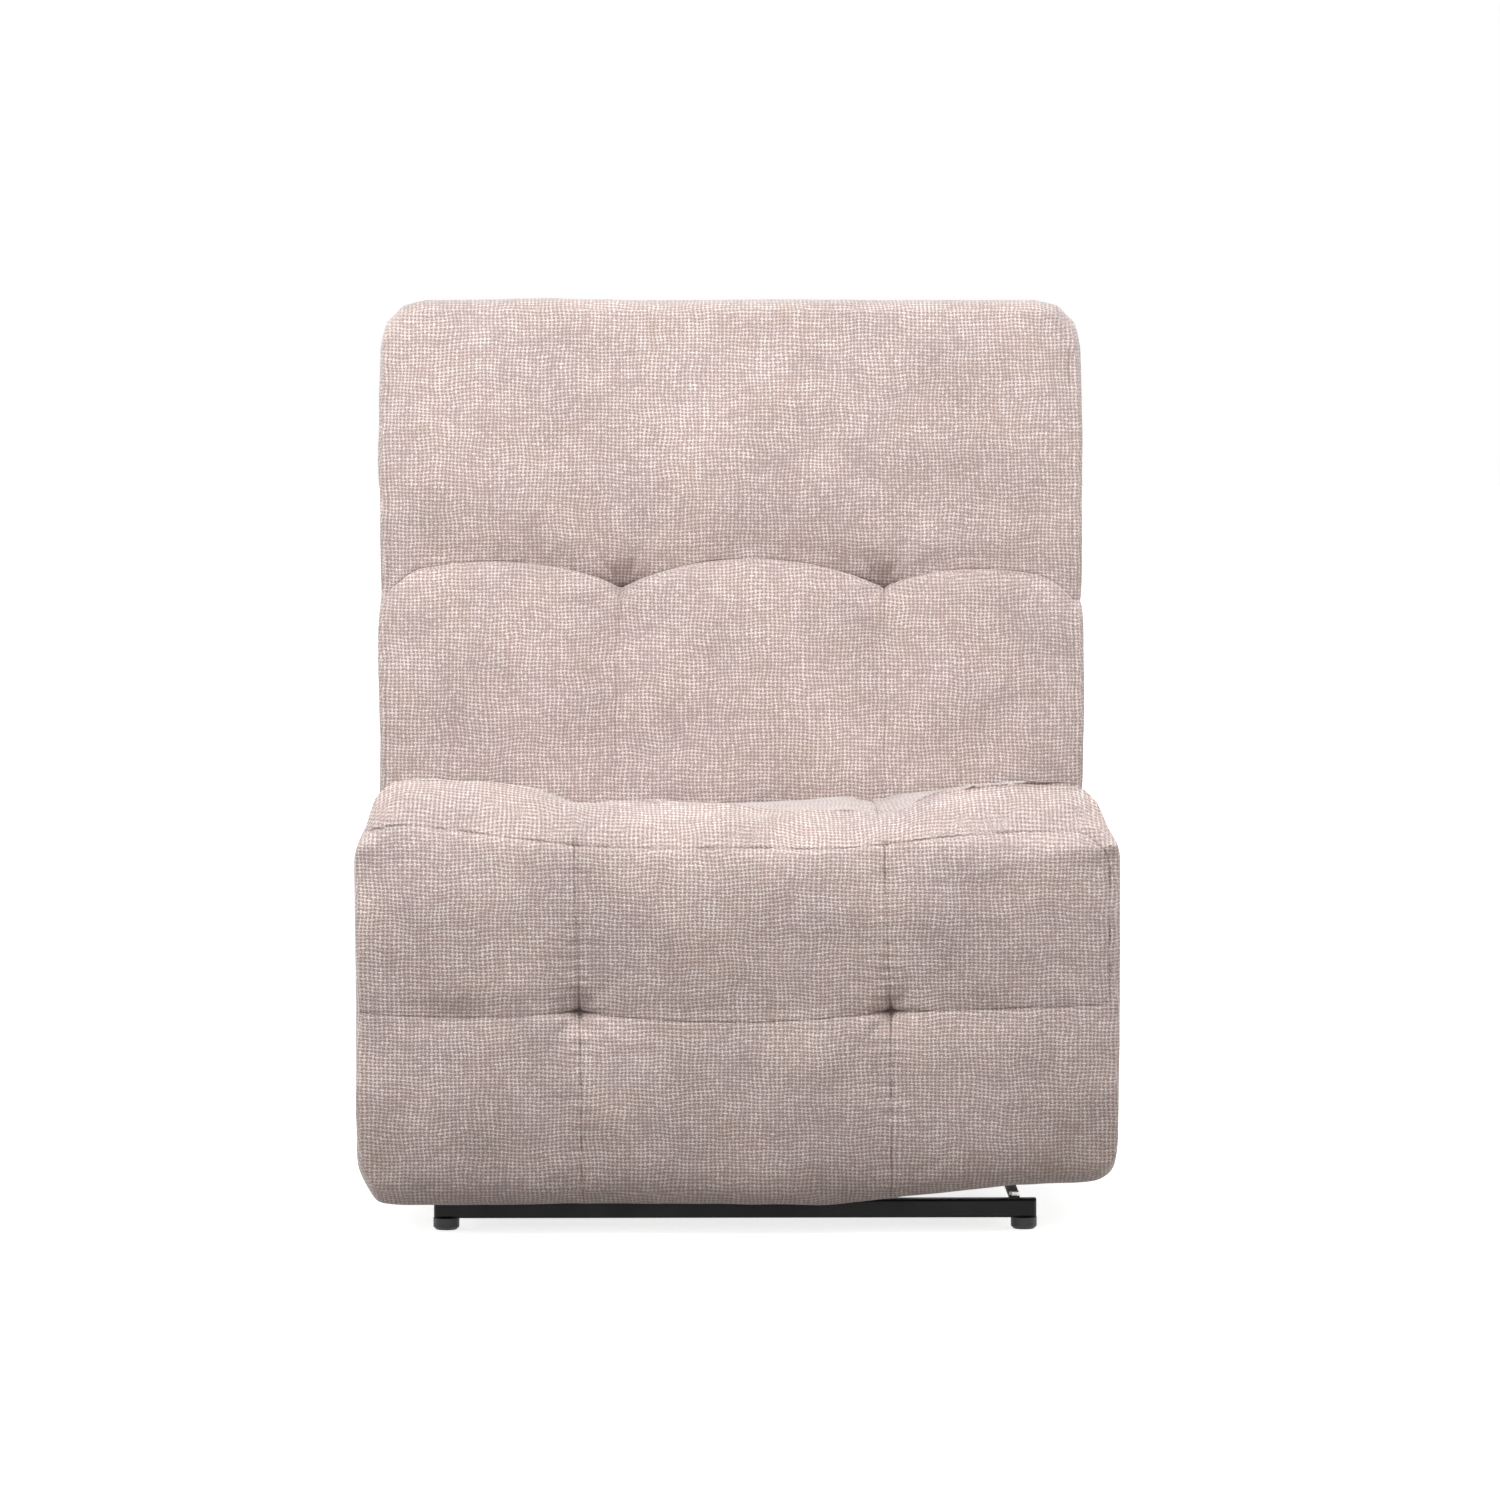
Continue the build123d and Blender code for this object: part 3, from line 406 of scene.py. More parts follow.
def weave_group():
    """One plane of plain weave, from (u, v) in metres: how high the threads stand, and their tone."""
    group = bpy.data.node_groups.new("woven plane", "ShaderNodeTree")
    for name in ("U", "V"):
        group.interface.new_socket(name=name, in_out="INPUT", socket_type="NodeSocketFloat")
    for name in ("Height", "Tone"):
        group.interface.new_socket(name=name, in_out="OUTPUT", socket_type="NodeSocketFloat")
    source = group.nodes.new("NodeGroupInput")
    target = group.nodes.new("NodeGroupOutput")
    plane = group.nodes.new("ShaderNodeCombineXYZ")
    group.links.new(source.outputs["U"], plane.inputs["X"])
    group.links.new(source.outputs["V"], plane.inputs["Y"])
    wander = group.nodes.new("ShaderNodeTexNoise")
    wander.inputs["Scale"].default_value = 15.0
    wander.inputs["Detail"].default_value = 3.0
    group.links.new(plane.outputs[0], wander.inputs["Vector"])
    shift = group.nodes.new("ShaderNodeVectorMath")
    shift.operation = "SCALE"
    shift.inputs["Scale"].default_value = thread_wander
    group.links.new(wander.outputs["Color"], shift.inputs[0])
    drifted = group.nodes.new("ShaderNodeVectorMath")
    group.links.new(plane.outputs[0], drifted.inputs[0])
    group.links.new(shift.outputs[0], drifted.inputs[1])
    counted = stretched(group, drifted.outputs[0], (1 / warp_pitch, 1 / weft_pitch, 0.0))
    split = group.nodes.new("ShaderNodeSeparateXYZ")
    group.links.new(counted, split.inputs[0])
    profiles = []
    swings = []
    tones = []
    for axis, stretch in (("X", (1.0, 0.07, 0.0)), ("Y", (0.07, 1.0, 0.0))):
        turn = math_node(group, "MULTIPLY", split.outputs[axis], 2 * pi)
        profiles.append(ramp(group, math_node(group, "COSINE", turn), -1, 1))
        swings.append(math_node(group, "COSINE", math_node(group, "MULTIPLY", split.outputs[axis], pi)))
        tones.append(noise(group, stretched(group, counted, stretch), 1.0, 1.0))
    over = math_node(group, "MULTIPLY", swings[0], swings[1])
    first = math_node(group, "MULTIPLY", profiles[0], ramp(group, over, -1, 1, 0.30, 1.0))
    second = math_node(group, "MULTIPLY", profiles[1], ramp(group, over, -1, 1, 1.0, 0.30))
    height = math_node(group, "MAXIMUM", first, second)
    cell = group.nodes.new("ShaderNodeVectorMath")
    cell.operation = "SNAP"
    half = group.nodes.new("ShaderNodeVectorMath")
    half.inputs[1].default_value = (0.5, 0.5, 0)
    group.links.new(counted, half.inputs[0])
    group.links.new(half.outputs[0], cell.inputs[0])
    cell.inputs[1].default_value = (1, 1, 1)
    speckle = group.nodes.new("ShaderNodeTexWhiteNoise")
    speckle.noise_dimensions = "3D"
    group.links.new(cell.outputs[0], speckle.inputs["Vector"])
    thread = math_node(group, "MULTIPLY", math_node(group, "ADD", tones[0], tones[1]), 0.5)
    dotted = math_node(group, "SUBTRACT", speckle.outputs["Value"], 0.5)
    dotted = math_node(group, "MULTIPLY", dotted, thread_speckle)
    group.links.new(height, target.inputs["Height"])
    group.links.new(math_node(group, "ADD", thread, dotted), target.inputs["Tone"])
    return group


def value_of(tree, name):
    """A value kept on the points."""
    node = tree.nodes.new("ShaderNodeAttribute")
    node.attribute_name = name
    return node.outputs["Fac"]


def seam_share(tree, place):
    """How much sewn lines darken the cloth: fine broken lines, partly thread and partly painted shade of creases
    finer than the mesh, made wider and darker at the tufts by painted shade.
    """
    along = tree.nodes.new("ShaderNodeSeparateXYZ")
    tree.links.new(place["Object"], along.inputs[0])
    run = math_node(tree, "ADD", along.outputs["X"], along.outputs["Z"])
    stitch = math_node(tree, "SINE", math_node(tree, "MULTIPLY", run, 2 * pi / stitch_pitch))
    stitch = ramp(tree, stitch, -0.4, 0.6, 0.6, 1.0)
    broken = ramp(tree, noise(tree, place["Object"], 42.0, 2.0), 0.38, 0.62, 0.30, 1.0)
    fine = math_node(tree, "MULTIPLY", stitch, broken)
    pull = value_of(tree, "pull")
    reach = ramp(tree, pull, 0, 1, seam_half_width, pulled_half_width)
    shares = None
    for letter in "abc":
        distance = math_node(tree, "ABSOLUTE", value_of(tree, "seam_" + letter))
        line = math_node(tree, "SUBTRACT", 1.0, math_node(tree, "DIVIDE", distance, reach))
        line = ramp(tree, line, 0.0, 0.55)
        share = math_node(tree, "MULTIPLY", line, value_of(tree, "run_" + letter))
        shares = share if shares is None else math_node(tree, "MAXIMUM", shares, share)
    sewn = math_node(tree, "MULTIPLY", fine, 0.85)
    # Round the tufts the lines take painted shade.
    strength = math_node(tree, "MAXIMUM", sewn, ramp(tree, pull, 0.15, 0.7, 0, 0.95))
    return math_node(tree, "MULTIPLY", shares, strength)


def chenille_material():
    """Pinkish beige cloth: light threads over gaps darkened with painted shade, mottled between mauve grey and
    tan.
    """
    material, tree, shader = new_material("chenille cloth")
    place = object_place(tree)
    weave = weave_group()
    parts = tree.nodes.new("ShaderNodeSeparateXYZ")
    tree.links.new(place["Object"], parts.inputs[0])
    facing = tree.nodes.new("ShaderNodeSeparateXYZ")
    tree.links.new(place["Normal"], facing.inputs[0])
    x, y, z = parts.outputs
    weights = [math_node(tree, "POWER", math_node(tree, "ABSOLUTE", side), 6.0) for side in facing.outputs]
    total = math_node(tree, "ADD", math_node(tree, "ADD", weights[0], weights[1]), weights[2])
    heights = None
    tones = None
    for weight, (u, v) in zip(weights, ((y, z), (x, z), (x, y))):
        plane = tree.nodes.new("ShaderNodeGroup")
        plane.node_tree = weave
        tree.links.new(u, plane.inputs["U"])
        tree.links.new(v, plane.inputs["V"])
        share = math_node(tree, "DIVIDE", weight, total)
        height = math_node(tree, "MULTIPLY", plane.outputs["Height"], share)
        tone = math_node(tree, "MULTIPLY", plane.outputs["Tone"], share)
        heights = height if heights is None else math_node(tree, "ADD", heights, height)
        tones = tone if tones is None else math_node(tree, "ADD", tones, tone)
    patches = noise(tree, place["Object"], 15.0, 4.0, 0.6)
    clouds = noise(tree, stretched(tree, place["Object"], (1.0, 1.0, 0.8)), 60.0, 2.0)
    # Pile patches, lighter and darker: partly random tone and partly painted sheen of the pile.
    pile_sheen_patches = noise(tree, stretched(tree, place["Object"], (1.0, 1.0, 1.3)), 11.0, 4.0, 0.6)
    fibre = noise(tree, place["Object"], 900.0, 2.0, 0.7)
    ground = mixed(tree, ramp(tree, patches, 0.40, 0.60), cloth_mauve, cloth_tan)
    ground = mixed(tree, ramp(tree, clouds, 0.35, 0.75, 0.0, 0.35), ground, cloth_grey)
    thread = mixed(tree, ramp(tree, tones, 0.34, 0.70), ground, cloth_light)
    # Painted shade: the weave's low places take the dark gap colour.
    woven = mixed(tree, ramp(tree, heights, 0.22, 0.80), weave_gap_shade, thread)
    # The pile patches and the fibre tone scale the colour; the patches carry painted sheen.
    shade = math_node(
        tree, "MULTIPLY",
        ramp(tree, pile_sheen_patches, 0.32, 0.68, 0.90, 1.09),
        ramp(tree, fibre, 0.25, 0.75, 0.92, 1.08),
    )
    colour = tree.nodes.new("ShaderNodeVectorMath")
    colour.operation = "SCALE"
    tree.links.new(woven, colour.inputs[0])
    tree.links.new(shade, colour.inputs["Scale"])
    seam = seam_share(tree, place)
    tree.links.new(mixed(tree, seam, colour.outputs[0], seam_shadow), shader.inputs["Base Color"])
    tree.links.new(ramp(tree, fibre, 0.2, 0.8, 0.82, 0.98), shader.inputs["Roughness"])
    relief = math_node(tree, "ADD", heights, math_node(tree, "MULTIPLY", fibre, 0.35))
    relief = math_node(tree, "SUBTRACT", relief, math_node(tree, "MULTIPLY", seam, 2.0))
    tree.links.new(bumped(tree, relief, 0.6, 0.0010), shader.inputs["Normal"])
    shader.inputs["Sheen Weight"].default_value = 1.0
    shader.inputs["Sheen Roughness"].default_value = 0.30
    shader.inputs["Sheen Tint"].default_value = (1.0, 0.98, 0.98, 1)
    shader.inputs["Specular IOR Level"].default_value = 0.2
    return material


def painted_steel(name, colour, wear, roughness, specular=0.4):
    """Dark painted sheet or tube: fine orange peel, dust on top and a little rubbed metal."""
    material, tree, shader = new_material(name)
    place = object_place(tree)
    peel = noise(tree, place["Object"], 900.0, 3.0)
    smudge = noise(tree, place["Object"], 26.0, 4.0, 0.6)
    scratch = noise(tree, stretched(tree, place["Object"], (14.0, 180.0, 180.0)), 4.0, 4.0, 0.7)
    dust = tuple(channel * 2.2 + 0.01 for channel in colour)
    dusty = mixed(tree, ramp(tree, smudge, 0.45, 0.8, 0.0, 0.35), colour, dust)
    worn = mixed(tree, ramp(tree, scratch, 0.66, 0.78, 0.0, wear), dusty, rubbed_metal)
    tree.links.new(worn, shader.inputs["Base Color"])
    rough = ramp(tree, smudge, 0.3, 0.8, roughness - 0.08, roughness + 0.14)
    tree.links.new(rough, shader.inputs["Roughness"])
    tree.links.new(bumped(tree, peel, 0.12, 0.0004), shader.inputs["Normal"])
    shader.inputs["Specular IOR Level"].default_value = specular
    return material


def zinc_plate():
    """Plated screws and pins: drawn grain with faint yellow stains."""
    material, tree, shader = new_material("zinc plate")
    place = object_place(tree)
    grain = noise(tree, stretched(tree, place["Object"], (1.0, 1.0, 8.0)), 300.0, 3.0)
    stain = noise(tree, place["Object"], 60.0, 3.0)
    stained = mixed(tree, ramp(tree, stain, 0.4, 0.7), zinc_grey, zinc_yellow)
    tree.links.new(stained, shader.inputs["Base Color"])
    tree.links.new(ramp(tree, grain, 0.3, 0.7, 0.28, 0.46), shader.inputs["Roughness"])
    tree.links.new(bumped(tree, grain, 0.2, 0.0002), shader.inputs["Normal"])
    shader.inputs["Metallic"].default_value = 1.0
    return material


def moulded_plastic():
    """Grained black plastic with pale scuffs."""
    material, tree, shader = new_material("moulded plastic")
    place = object_place(tree)
    grain = noise(tree, place["Object"], 1300.0, 2.0)
    scuff = noise(tree, place["Object"], 45.0, 3.0)
    scuffed = mixed(tree, ramp(tree, scuff, 0.5, 0.8), plastic_black, plastic_scuffed)
    tree.links.new(scuffed, shader.inputs["Base Color"])
    tree.links.new(ramp(tree, scuff, 0.3, 0.8, 0.42, 0.6), shader.inputs["Roughness"])
    tree.links.new(bumped(tree, grain, 0.25, 0.0003), shader.inputs["Normal"])
    return material


def sawn_wood():
    """Plain frame timber: long rings and fine pores."""
    material, tree, shader = new_material("sawn wood")
    place = object_place(tree)
    rings = tree.nodes.new("ShaderNodeTexWave")
    rings.bands_direction = "Z"
    rings.inputs["Scale"].default_value = 9.0
    rings.inputs["Distortion"].default_value = 7.0
    rings.inputs["Detail"].default_value = 3.0
    tree.links.new(stretched(tree, place["Object"], (0.35, 1.0, 4.0)), rings.inputs["Vector"])
    pores = noise(tree, stretched(tree, place["Object"], (3.0, 30.0, 30.0)), 60.0, 3.0)
    base = mixed(tree, rings.outputs["Fac"], wood_light, wood_dark)
    porous = mixed(tree, ramp(tree, pores, 0.55, 0.75, 0.0, 0.45), base, wood_pore)
    tree.links.new(porous, shader.inputs["Base Color"])
    tree.links.new(bumped(tree, pores, 0.3, 0.0006), shader.inputs["Normal"])
    shader.inputs["Roughness"].default_value = 0.62
    return material


def woven_strap():
    """Elastic webbing: ribs along it and picks across it."""
    material, tree, shader = new_material("elastic webbing")
    place = object_place(tree)
    parts = tree.nodes.new("ShaderNodeSeparateXYZ")
    tree.links.new(place["Object"], parts.inputs[0])
    stripe = math_node(tree, "SINE", math_node(tree, "MULTIPLY", parts.outputs["X"], 2 * pi / 0.0045))
    rib = math_node(tree, "SINE", math_node(tree, "MULTIPLY", parts.outputs["Y"], 2 * pi / 0.0022))
    relief = math_node(tree, "ADD", stripe, rib)
    striped = mixed(tree, ramp(tree, relief, -1.4, 1.4), strap_dark, strap_light)
    tree.links.new(striped, shader.inputs["Base Color"])
    tree.links.new(bumped(tree, relief, 0.4, 0.0005), shader.inputs["Normal"])
    shader.inputs["Roughness"].default_value = 0.85
    return material


chenille = chenille_material()
slot_materials = {
    "black_steel": painted_steel("black powder coat", coat_black, wear=0.05, roughness=0.5, specular=0.22),
    "mechanism_steel": painted_steel("mechanism steel", steel_black, wear=0.6, roughness=0.42),
    "zinc_fasteners": zinc_plate(),
    "black_plastic": moulded_plastic(),
    "frame_wood": sawn_wood(),
    "webbing": woven_strap(),
    "chenille": chenille,
}
for subpart in frame["record"]["subparts"]:
    held_node = nodes[subpart["node"]]
    held_node.data.materials.clear()
    held_node.data.materials.append(slot_materials[subpart["material_slot"]])


# ---------------------------------------------------------------- footrest pad
def pad_seam_line(x):
    """The middle sewn line's height: slack arcs between the tufts, rising to the right."""
    left = 0.0045 * np.sin(pi * np.clip((pad_seams[0] - x) / 0.2355, 0, 1))
    middle = 0.010 * np.clip(1 - ((x + 0.002) / 0.1645) ** 2, 0, 1)
    return pad_middle - left - middle + pad_row_rise * np.maximum(x - pad_seams[1], 0)


def pad_roll_line(x):
    """The height of the line sewn under the roll: level in the middle, higher on the side columns."""
    left = 0.0235 * smooth(0.12, 0.355, -x) - 0.0085 * smooth(0.355, 0.405, -x)
    return pad_roll_low + left + 0.0175 * smooth(0.05, 0.345, x)


def pad_roll_distance(x, z):
    """The signed distance to the roll's line, which turns down round the front's right corner."""
    beside = x - pad_corner_x
    above = z - pad_roll_line(x) + pad_corner_radius
    outside = np.hypot(np.maximum(beside, 0), np.maximum(above, 0)) - pad_corner_radius
    inside = np.maximum(beside, above) - pad_corner_radius
    return np.where((beside > 0) | (above > 0), outside, inside)


def front_share(y):
    """1 on the pad's face, falling to 0 on its rear."""
    return 1 - np.clip((y - pad_low.y) / (pad_high.y - pad_low.y), 0, 1)


def crest_drop(x):
    """How much lower than its solid the pad's top lies."""
    # all along, the middle half and the right end
    drop = 0.003 + 0.009 * (1 - smooth(0.12, 0.27, np.abs(x))) + 0.012 * smooth(0.350, 0.405, x)
    # the low place right of the middle and the hump over the left seam
    drop += 0.005 * bump(x, 0.05, 0.05) - 0.0085 * bump(x, -0.165, 0.10)
    # the sag between the seams
    drop += 0.003 * smooth(-0.12, -0.04, x) * (1 - smooth(0.17, 0.21, x))
    # the outer columns and the left end
    drop += 0.0035 * smooth(0.26, 0.33, np.abs(x)) + 0.0075 * smooth(0.372, 0.395, -x)
    return drop


def shaped_pad(points, facing):
    """Move the solid's plain form to the real one's: the groove's route, the crest, foot and sides."""
    x, y, z = points.T
    moved = points.copy()
    groove = pad_groove_low + pad_groove_rise * smooth(0.13, 0.30, np.abs(x))
    moved[:, 2] += (pad_roll_line(x) - groove) * bump(z, groove, 0.032)
    front = 1 - smooth(-0.6, 0.0, facing[:, 1])
    uncrossed = 1 - 0.55 * bump(nearest(x, pad_seams), 0, 0.03) * bump(z, pad_middle, 0.05)
    rows = bump(z, pad_middle, 0.030) + bump(z, pad_roll_line(x), 0.026)
    columns = bump(nearest(x, pad_seams), 0, 0.030)
    moved[:, 1] -= front * uncrossed * (pad_row_fill * rows + pad_column_fill * columns)
    above = np.clip((z - pad_roll_line(x)) / roll_rise, 0, 1)
    rounded = 0.55 * above + 0.45 * (1 - np.sqrt(1 - above * above))
    moved[:, 1] += roll_slope * rounded * front_share(y)
    moved[:, 2] -= smooth(0.42, 0.47, z) * crest_drop(x)
    low = 1 - smooth(0.05, 0.20, z)
    corner = 0.028 * smooth(0.378, 0.408, -x) + 0.006 * smooth(0.390, 0.405, x)
    moved[:, 2] += low * (foot_rise * smooth(0.09, 0.33, x) + corner - foot_drop)
    moved[:, 0] += smooth(0.30, 0.39, x) * (0.001 + 0.0025 * smooth(0.08, 0.28, z))
    moved[:, 0] += smooth(0.30, 0.39, -x) * 0.0015 * (1 - smooth(0.10, 0.30, z))
    moved[:, 1] += front_share(y) * pad_bow * ((z - pad_middle) / 0.2) ** 2
    return moved


def make_footrest_pad():
    """The footrest's face: two rows of three panels under a roll, with a tuft at each crossing."""
    piece = copied("footrest_pad", "footrest_pad_cloth")
    remeshed(piece)
    eased(piece, 2)
    move_points(piece.data, shaped_pad(coordinates(piece.data), normals(piece.data)))
    eased(piece, 4)
    points = coordinates(piece.data)
    facing = normals(piece.data)
    x, y, z = points.T
    behind = smooth(0.3, 0.7, facing[:, 1])
    front = 1 - smooth(-0.5, 0.1, facing[:, 1])
    boxed = smooth(0.5, 0.85, np.abs(facing[:, 0]))
    upright = nearest(x - pad_seam_lean * (pad_middle - z), pad_seams)
    sewn = np.maximum.reduce([
        bump(upright, 0, pad_hold_reach),
        bump(z, pad_seam_line(x), pad_hold_reach),
        bump(z, pad_roll_line(x), pad_hold_reach),
    ])
    held = np.clip(np.maximum.reduce([behind, sewn * front, boxed_hold * boxed]), 0, 1)
    stuffed(piece, held, slack=0.003, cap=0.010)
    subdivided(piece)
    points = coordinates(piece.data)
    facing = normals(piece.data)
    x, y, z = points.T
    front = 1 - smooth(-0.45, 0.15, facing[:, 1])
    under_roll = pad_roll_distance(x, z)
    roll_side = smooth(-0.002, 0.006, under_roll)
    faded = 1 - smooth(0.36, 0.40, x) * (1 - smooth(0.22, 0.29, z))
    columns = nearest(x - pad_seam_lean * (pad_middle - z) + 0.0012 * np.sin(z * 21.0), pad_seams)
    rows = z - pad_seam_line(x)
    from_tuft = np.hypot(columns, rows)
    near_tuft = np.exp(-from_tuft / 0.060)
    # How much painted shade darkens the seams round each tuft.
    pull = np.exp(-np.hypot(columns, 1.6 * rows) / 0.014)
    gather = 0.0004 + 0.0010 * near_tuft
    inward = front * (1 - roll_side) * crease(np.abs(columns), 0.0030 + 0.0030 * near_tuft)
    inward += front * (1 - roll_side) * puckers(np.abs(columns), z, gather)
    inward += roll_side * (1 - smooth(0.2, 0.8, facing[:, 1])) * crease(np.abs(columns), 0.0014, 0.009)
    inward += front * (1 - roll_side) * crease(np.abs(rows), 0.0034 + 0.0034 * near_tuft)
    inward += front * (1 - roll_side) * puckers(np.abs(rows), x, gather)
    inward += front * faded * crease(np.abs(under_roll), 0.0030)
    inward += front * faded * puckers(np.abs(under_roll), x, 0.0006, 0.010)
    inward += front * tuft(columns, rows, 0.010, 0.014)
    side_seam = y - pad_low.y - pad_side_seam
    on_side = smooth(0.6, 0.9, -facing[:, 0]) * (1 - roll_side)
    inward += on_side * crease(np.abs(side_seam), 0.0018, 0.003)
    inward += 0.0022 * undulation(points, 0.17) * front
    inward += 0.0006 * undulation(points, 0.050) * front
    mark_seams(
        piece,
        pull=pull * front,
        seam_a=columns, run_a=front * (1 - roll_side) * 0.9,
        seam_b=np.where((np.abs(rows) < np.abs(under_roll)) & (under_roll < 0), rows, under_roll),
        run_b=front * faded,
        seam_c=side_seam, run_c=on_side * 0.7,
    )
    move_points(piece.data, points - facing * inward[:, None])
    finished(piece, "footrest", chenille, "footrest_pad")


# ---------------------------------------------------------------- seat cushion
def make_seat_cushion():
    """The seat: its solid's form, settled under use, stuffed between two seams."""
    piece = copied("seat_cushion", "seat_cushion_cloth")
    remeshed(piece)
    eased(piece, 2)
    points = coordinates(piece.data)
    x = points[:, 0]
    settle = seat_settle + 0.007 * bump(x, 0, 0.09) - 0.010 * bump(x, seat_seams[1], 0.055)
    settle += 0.002 * bump(x, 0, 0.03) - 0.003 * bump(x, 0.125, 0.03)
    upper = smooth(seat_low.z + 0.02, seat_low.z + 0.09, points[:, 2])
    points[:, 2] -= (settle - 0.002 * smooth(0.2, 0.3, x)) * upper
    move_points(piece.data, points)
    facing = normals(piece.data)
    x, y, z = points.T
    upward = smooth(0.2, 0.7, facing[:, 2])
    sewn = np.maximum.reduce([bump(x, seam, cushion_hold_reach) for seam in seat_seams])
    sides = smooth(0.3, 0.8, np.abs(facing[:, 0])) * smooth(seat_low.z + 0.02, seat_low.z + 0.06, z)
    held = np.clip(np.maximum((1 - upward) * (1 - 0.5 * sides), sewn), 0, 1)
    stuffed(piece, held, slack=0.006, cap=0.009)
    subdivided(piece)
    points = coordinates(piece.data)
    facing = normals(piece.data)
    x, y, z = points.T
    upward = smooth(0.0, 0.6, facing[:, 2])
    columns = nearest(x + 0.002 * np.sin(y * 24.0), seat_seams)
    inward = upward * (crease(np.abs(columns), 0.006) + puckers(np.abs(columns), y, 0.0007))
    boxed_edge = np.abs(x) - (seat_high.x - seat_edge_inset)
    on_edge = smooth(seat_low.z + 0.05, seat_low.z + 0.08, z) * smooth(0.1, 0.5, facing[:, 2])
    inward += on_edge * crease(np.abs(boxed_edge), 0.0018, 0.003)
    inward += 0.0016 * undulation(points, 0.17) * upward
    inward += 0.0005 * undulation(points, 0.05) * upward
    mark_seams(piece, seam_a=columns, run_a=upward, seam_c=boxed_edge, run_c=on_edge * 0.5)
    move_points(piece.data, points - facing * inward[:, None])
    finished(piece, "seat", chenille, "seat_cushion")


# ---------------------------------------------------------------- back cushion
def arch(x, middle, half, rise):
    """A parabola's height over its own span, and 0 beside it."""
    return rise * np.clip(1 - ((x - middle) / half) ** 2, 0, 1)


def back_seam_line(x):
    """The lumbar line: an arch over each column, dropping to the tufts and the outer edges."""
    arches = np.maximum.reduce([
        arch(x, -0.272, 0.150, 0.0272), arch(x, 0.0254, 0.149, 0.0305), arch(x, 0.285, 0.112, 0.0185),
    ])
    return back_tuft_height + arches - 0.015 * smooth(0.350, 0.405, np.abs(x))


def make_back_cushion():
    """The back: a tall panel over three lumbar columns that bulge out under an arched line."""
    piece = copied("back_cushion", "back_cushion_cloth")
    remeshed(piece)
    local = into_back(coordinates(piece.data))
    x, out, up = local.T
    local[:, 2] += (back_seam_line(x) - back_groove) * bump(up, back_groove, 0.11)
    front = smooth(-0.02, 0.03, out)
    local[:, 1] += front * 0.006 * bump(up, back_seam_line(x), 0.05)
    high = smooth(0.45, 0.64, up)
    low = 1 - smooth(0.12, 0.28, up)
    local[:, 0] += smooth(0.28, 0.38, x) * (0.002 + 0.0025 * high - 0.004 * low)
    local[:, 0] -= smooth(0.28, 0.38, -x) * (0.002 * high - 0.0012 - 0.004 * low)
    move_points(piece.data, from_back(local))
    eased(piece, 2)
    local = into_back(coordinates(piece.data))
    facing = normals(piece.data)
    x, out, up = local.T
    front = 1 - smooth(-0.4, 0.1, facing[:, 1])
    behind = smooth(0.4, 0.8, facing[:, 1])
    boxed = smooth(0.5, 0.85, np.maximum(np.abs(facing[:, 0]), facing[:, 2]))
    lumbar = 1 - smooth(-0.004, 0.004, up - back_seam_line(x))
    columns = [bump(x, seam, cushion_hold_reach) * lumbar for seam in back_seams]
    sewn = np.maximum.reduce(columns + [bump(up, back_seam_line(x), cushion_hold_reach)])
    held = np.clip(np.maximum.reduce([behind, sewn * front, boxed_hold * boxed]), 0, 1)
    stuffed(piece, held, slack=0.004, cap=0.022)
    subdivided(piece)
    points = coordinates(piece.data)
    facing = normals(piece.data)
    local = into_back(points)
    x, out, up = local.T
    front = 1 - smooth(-0.4, 0.2, facing[:, 1])
    below = back_seam_line(x) - up
    lumbar = smooth(-0.001, 0.004, below)
    tuft_side = nearest(x, back_tufts)
    near_tuft = np.exp(-np.abs(tuft_side) / 0.045)
    # How much painted shade darkens the seams round each tuft.
    pull = np.exp(-np.hypot(tuft_side, below) / 0.012)
    shelf = np.clip(1 - below / shelf_fall, 0, 1)
    inward = front * lumbar * shelf_depth * (1 - np.sqrt(np.clip(1 - shelf * shelf, 0, 1)))
    inward += front * (1 - lumbar) * (0.006 + 0.010 * near_tuft) * np.exp(below / 0.035)
    inward += front * (crease(np.abs(below), 0.0045) + puckers(np.abs(below), x, 0.0003 + 0.0008 * near_tuft))
    lean = (back_tufts[0] - back_seams[0]) * smooth(0.29, back_tuft_height, up)
    columns = nearest(x - lean * (x < 0) + 0.0012 * np.sin(up * 15.0), back_seams)
    inward += front * lumbar * (crease(np.abs(columns), 0.0030) + puckers(np.abs(columns), up, 0.0003))
    inward += front * tuft(tuft_side, below, 0.010, 0.016, 8, 0.045)
    height = -below
    for slope in (-0.5, 0.5):
        drag = tuft_side - slope * height
        inward += front * (1 - lumbar) * 0.0045 * bump(drag, 0, 0.016) * np.exp(-height / 0.060)
    boxed_edge = np.abs(x) - (back_high.x - back_edge_inset)
    on_edge = smooth(0.10, 0.16, up) * (1 - smooth(0.64, 0.66, up)) * front
    inward += on_edge * crease(np.abs(boxed_edge), 0.0016, 0.0032)
    inward += 0.0024 * undulation(points, 0.21) * front
    inward += 0.0006 * undulation(points, 0.055) * front
    mark_seams(
        piece,
        pull=pull * front,
        seam_a=columns, run_a=front * lumbar * 0.30,
        seam_b=below, run_b=front * 0.9,
        seam_c=boxed_edge, run_c=on_edge * 0.35,
    )
    move_points(piece.data, points - facing * inward[:, None])
    finished(piece, "back", chenille, "back_cushion")


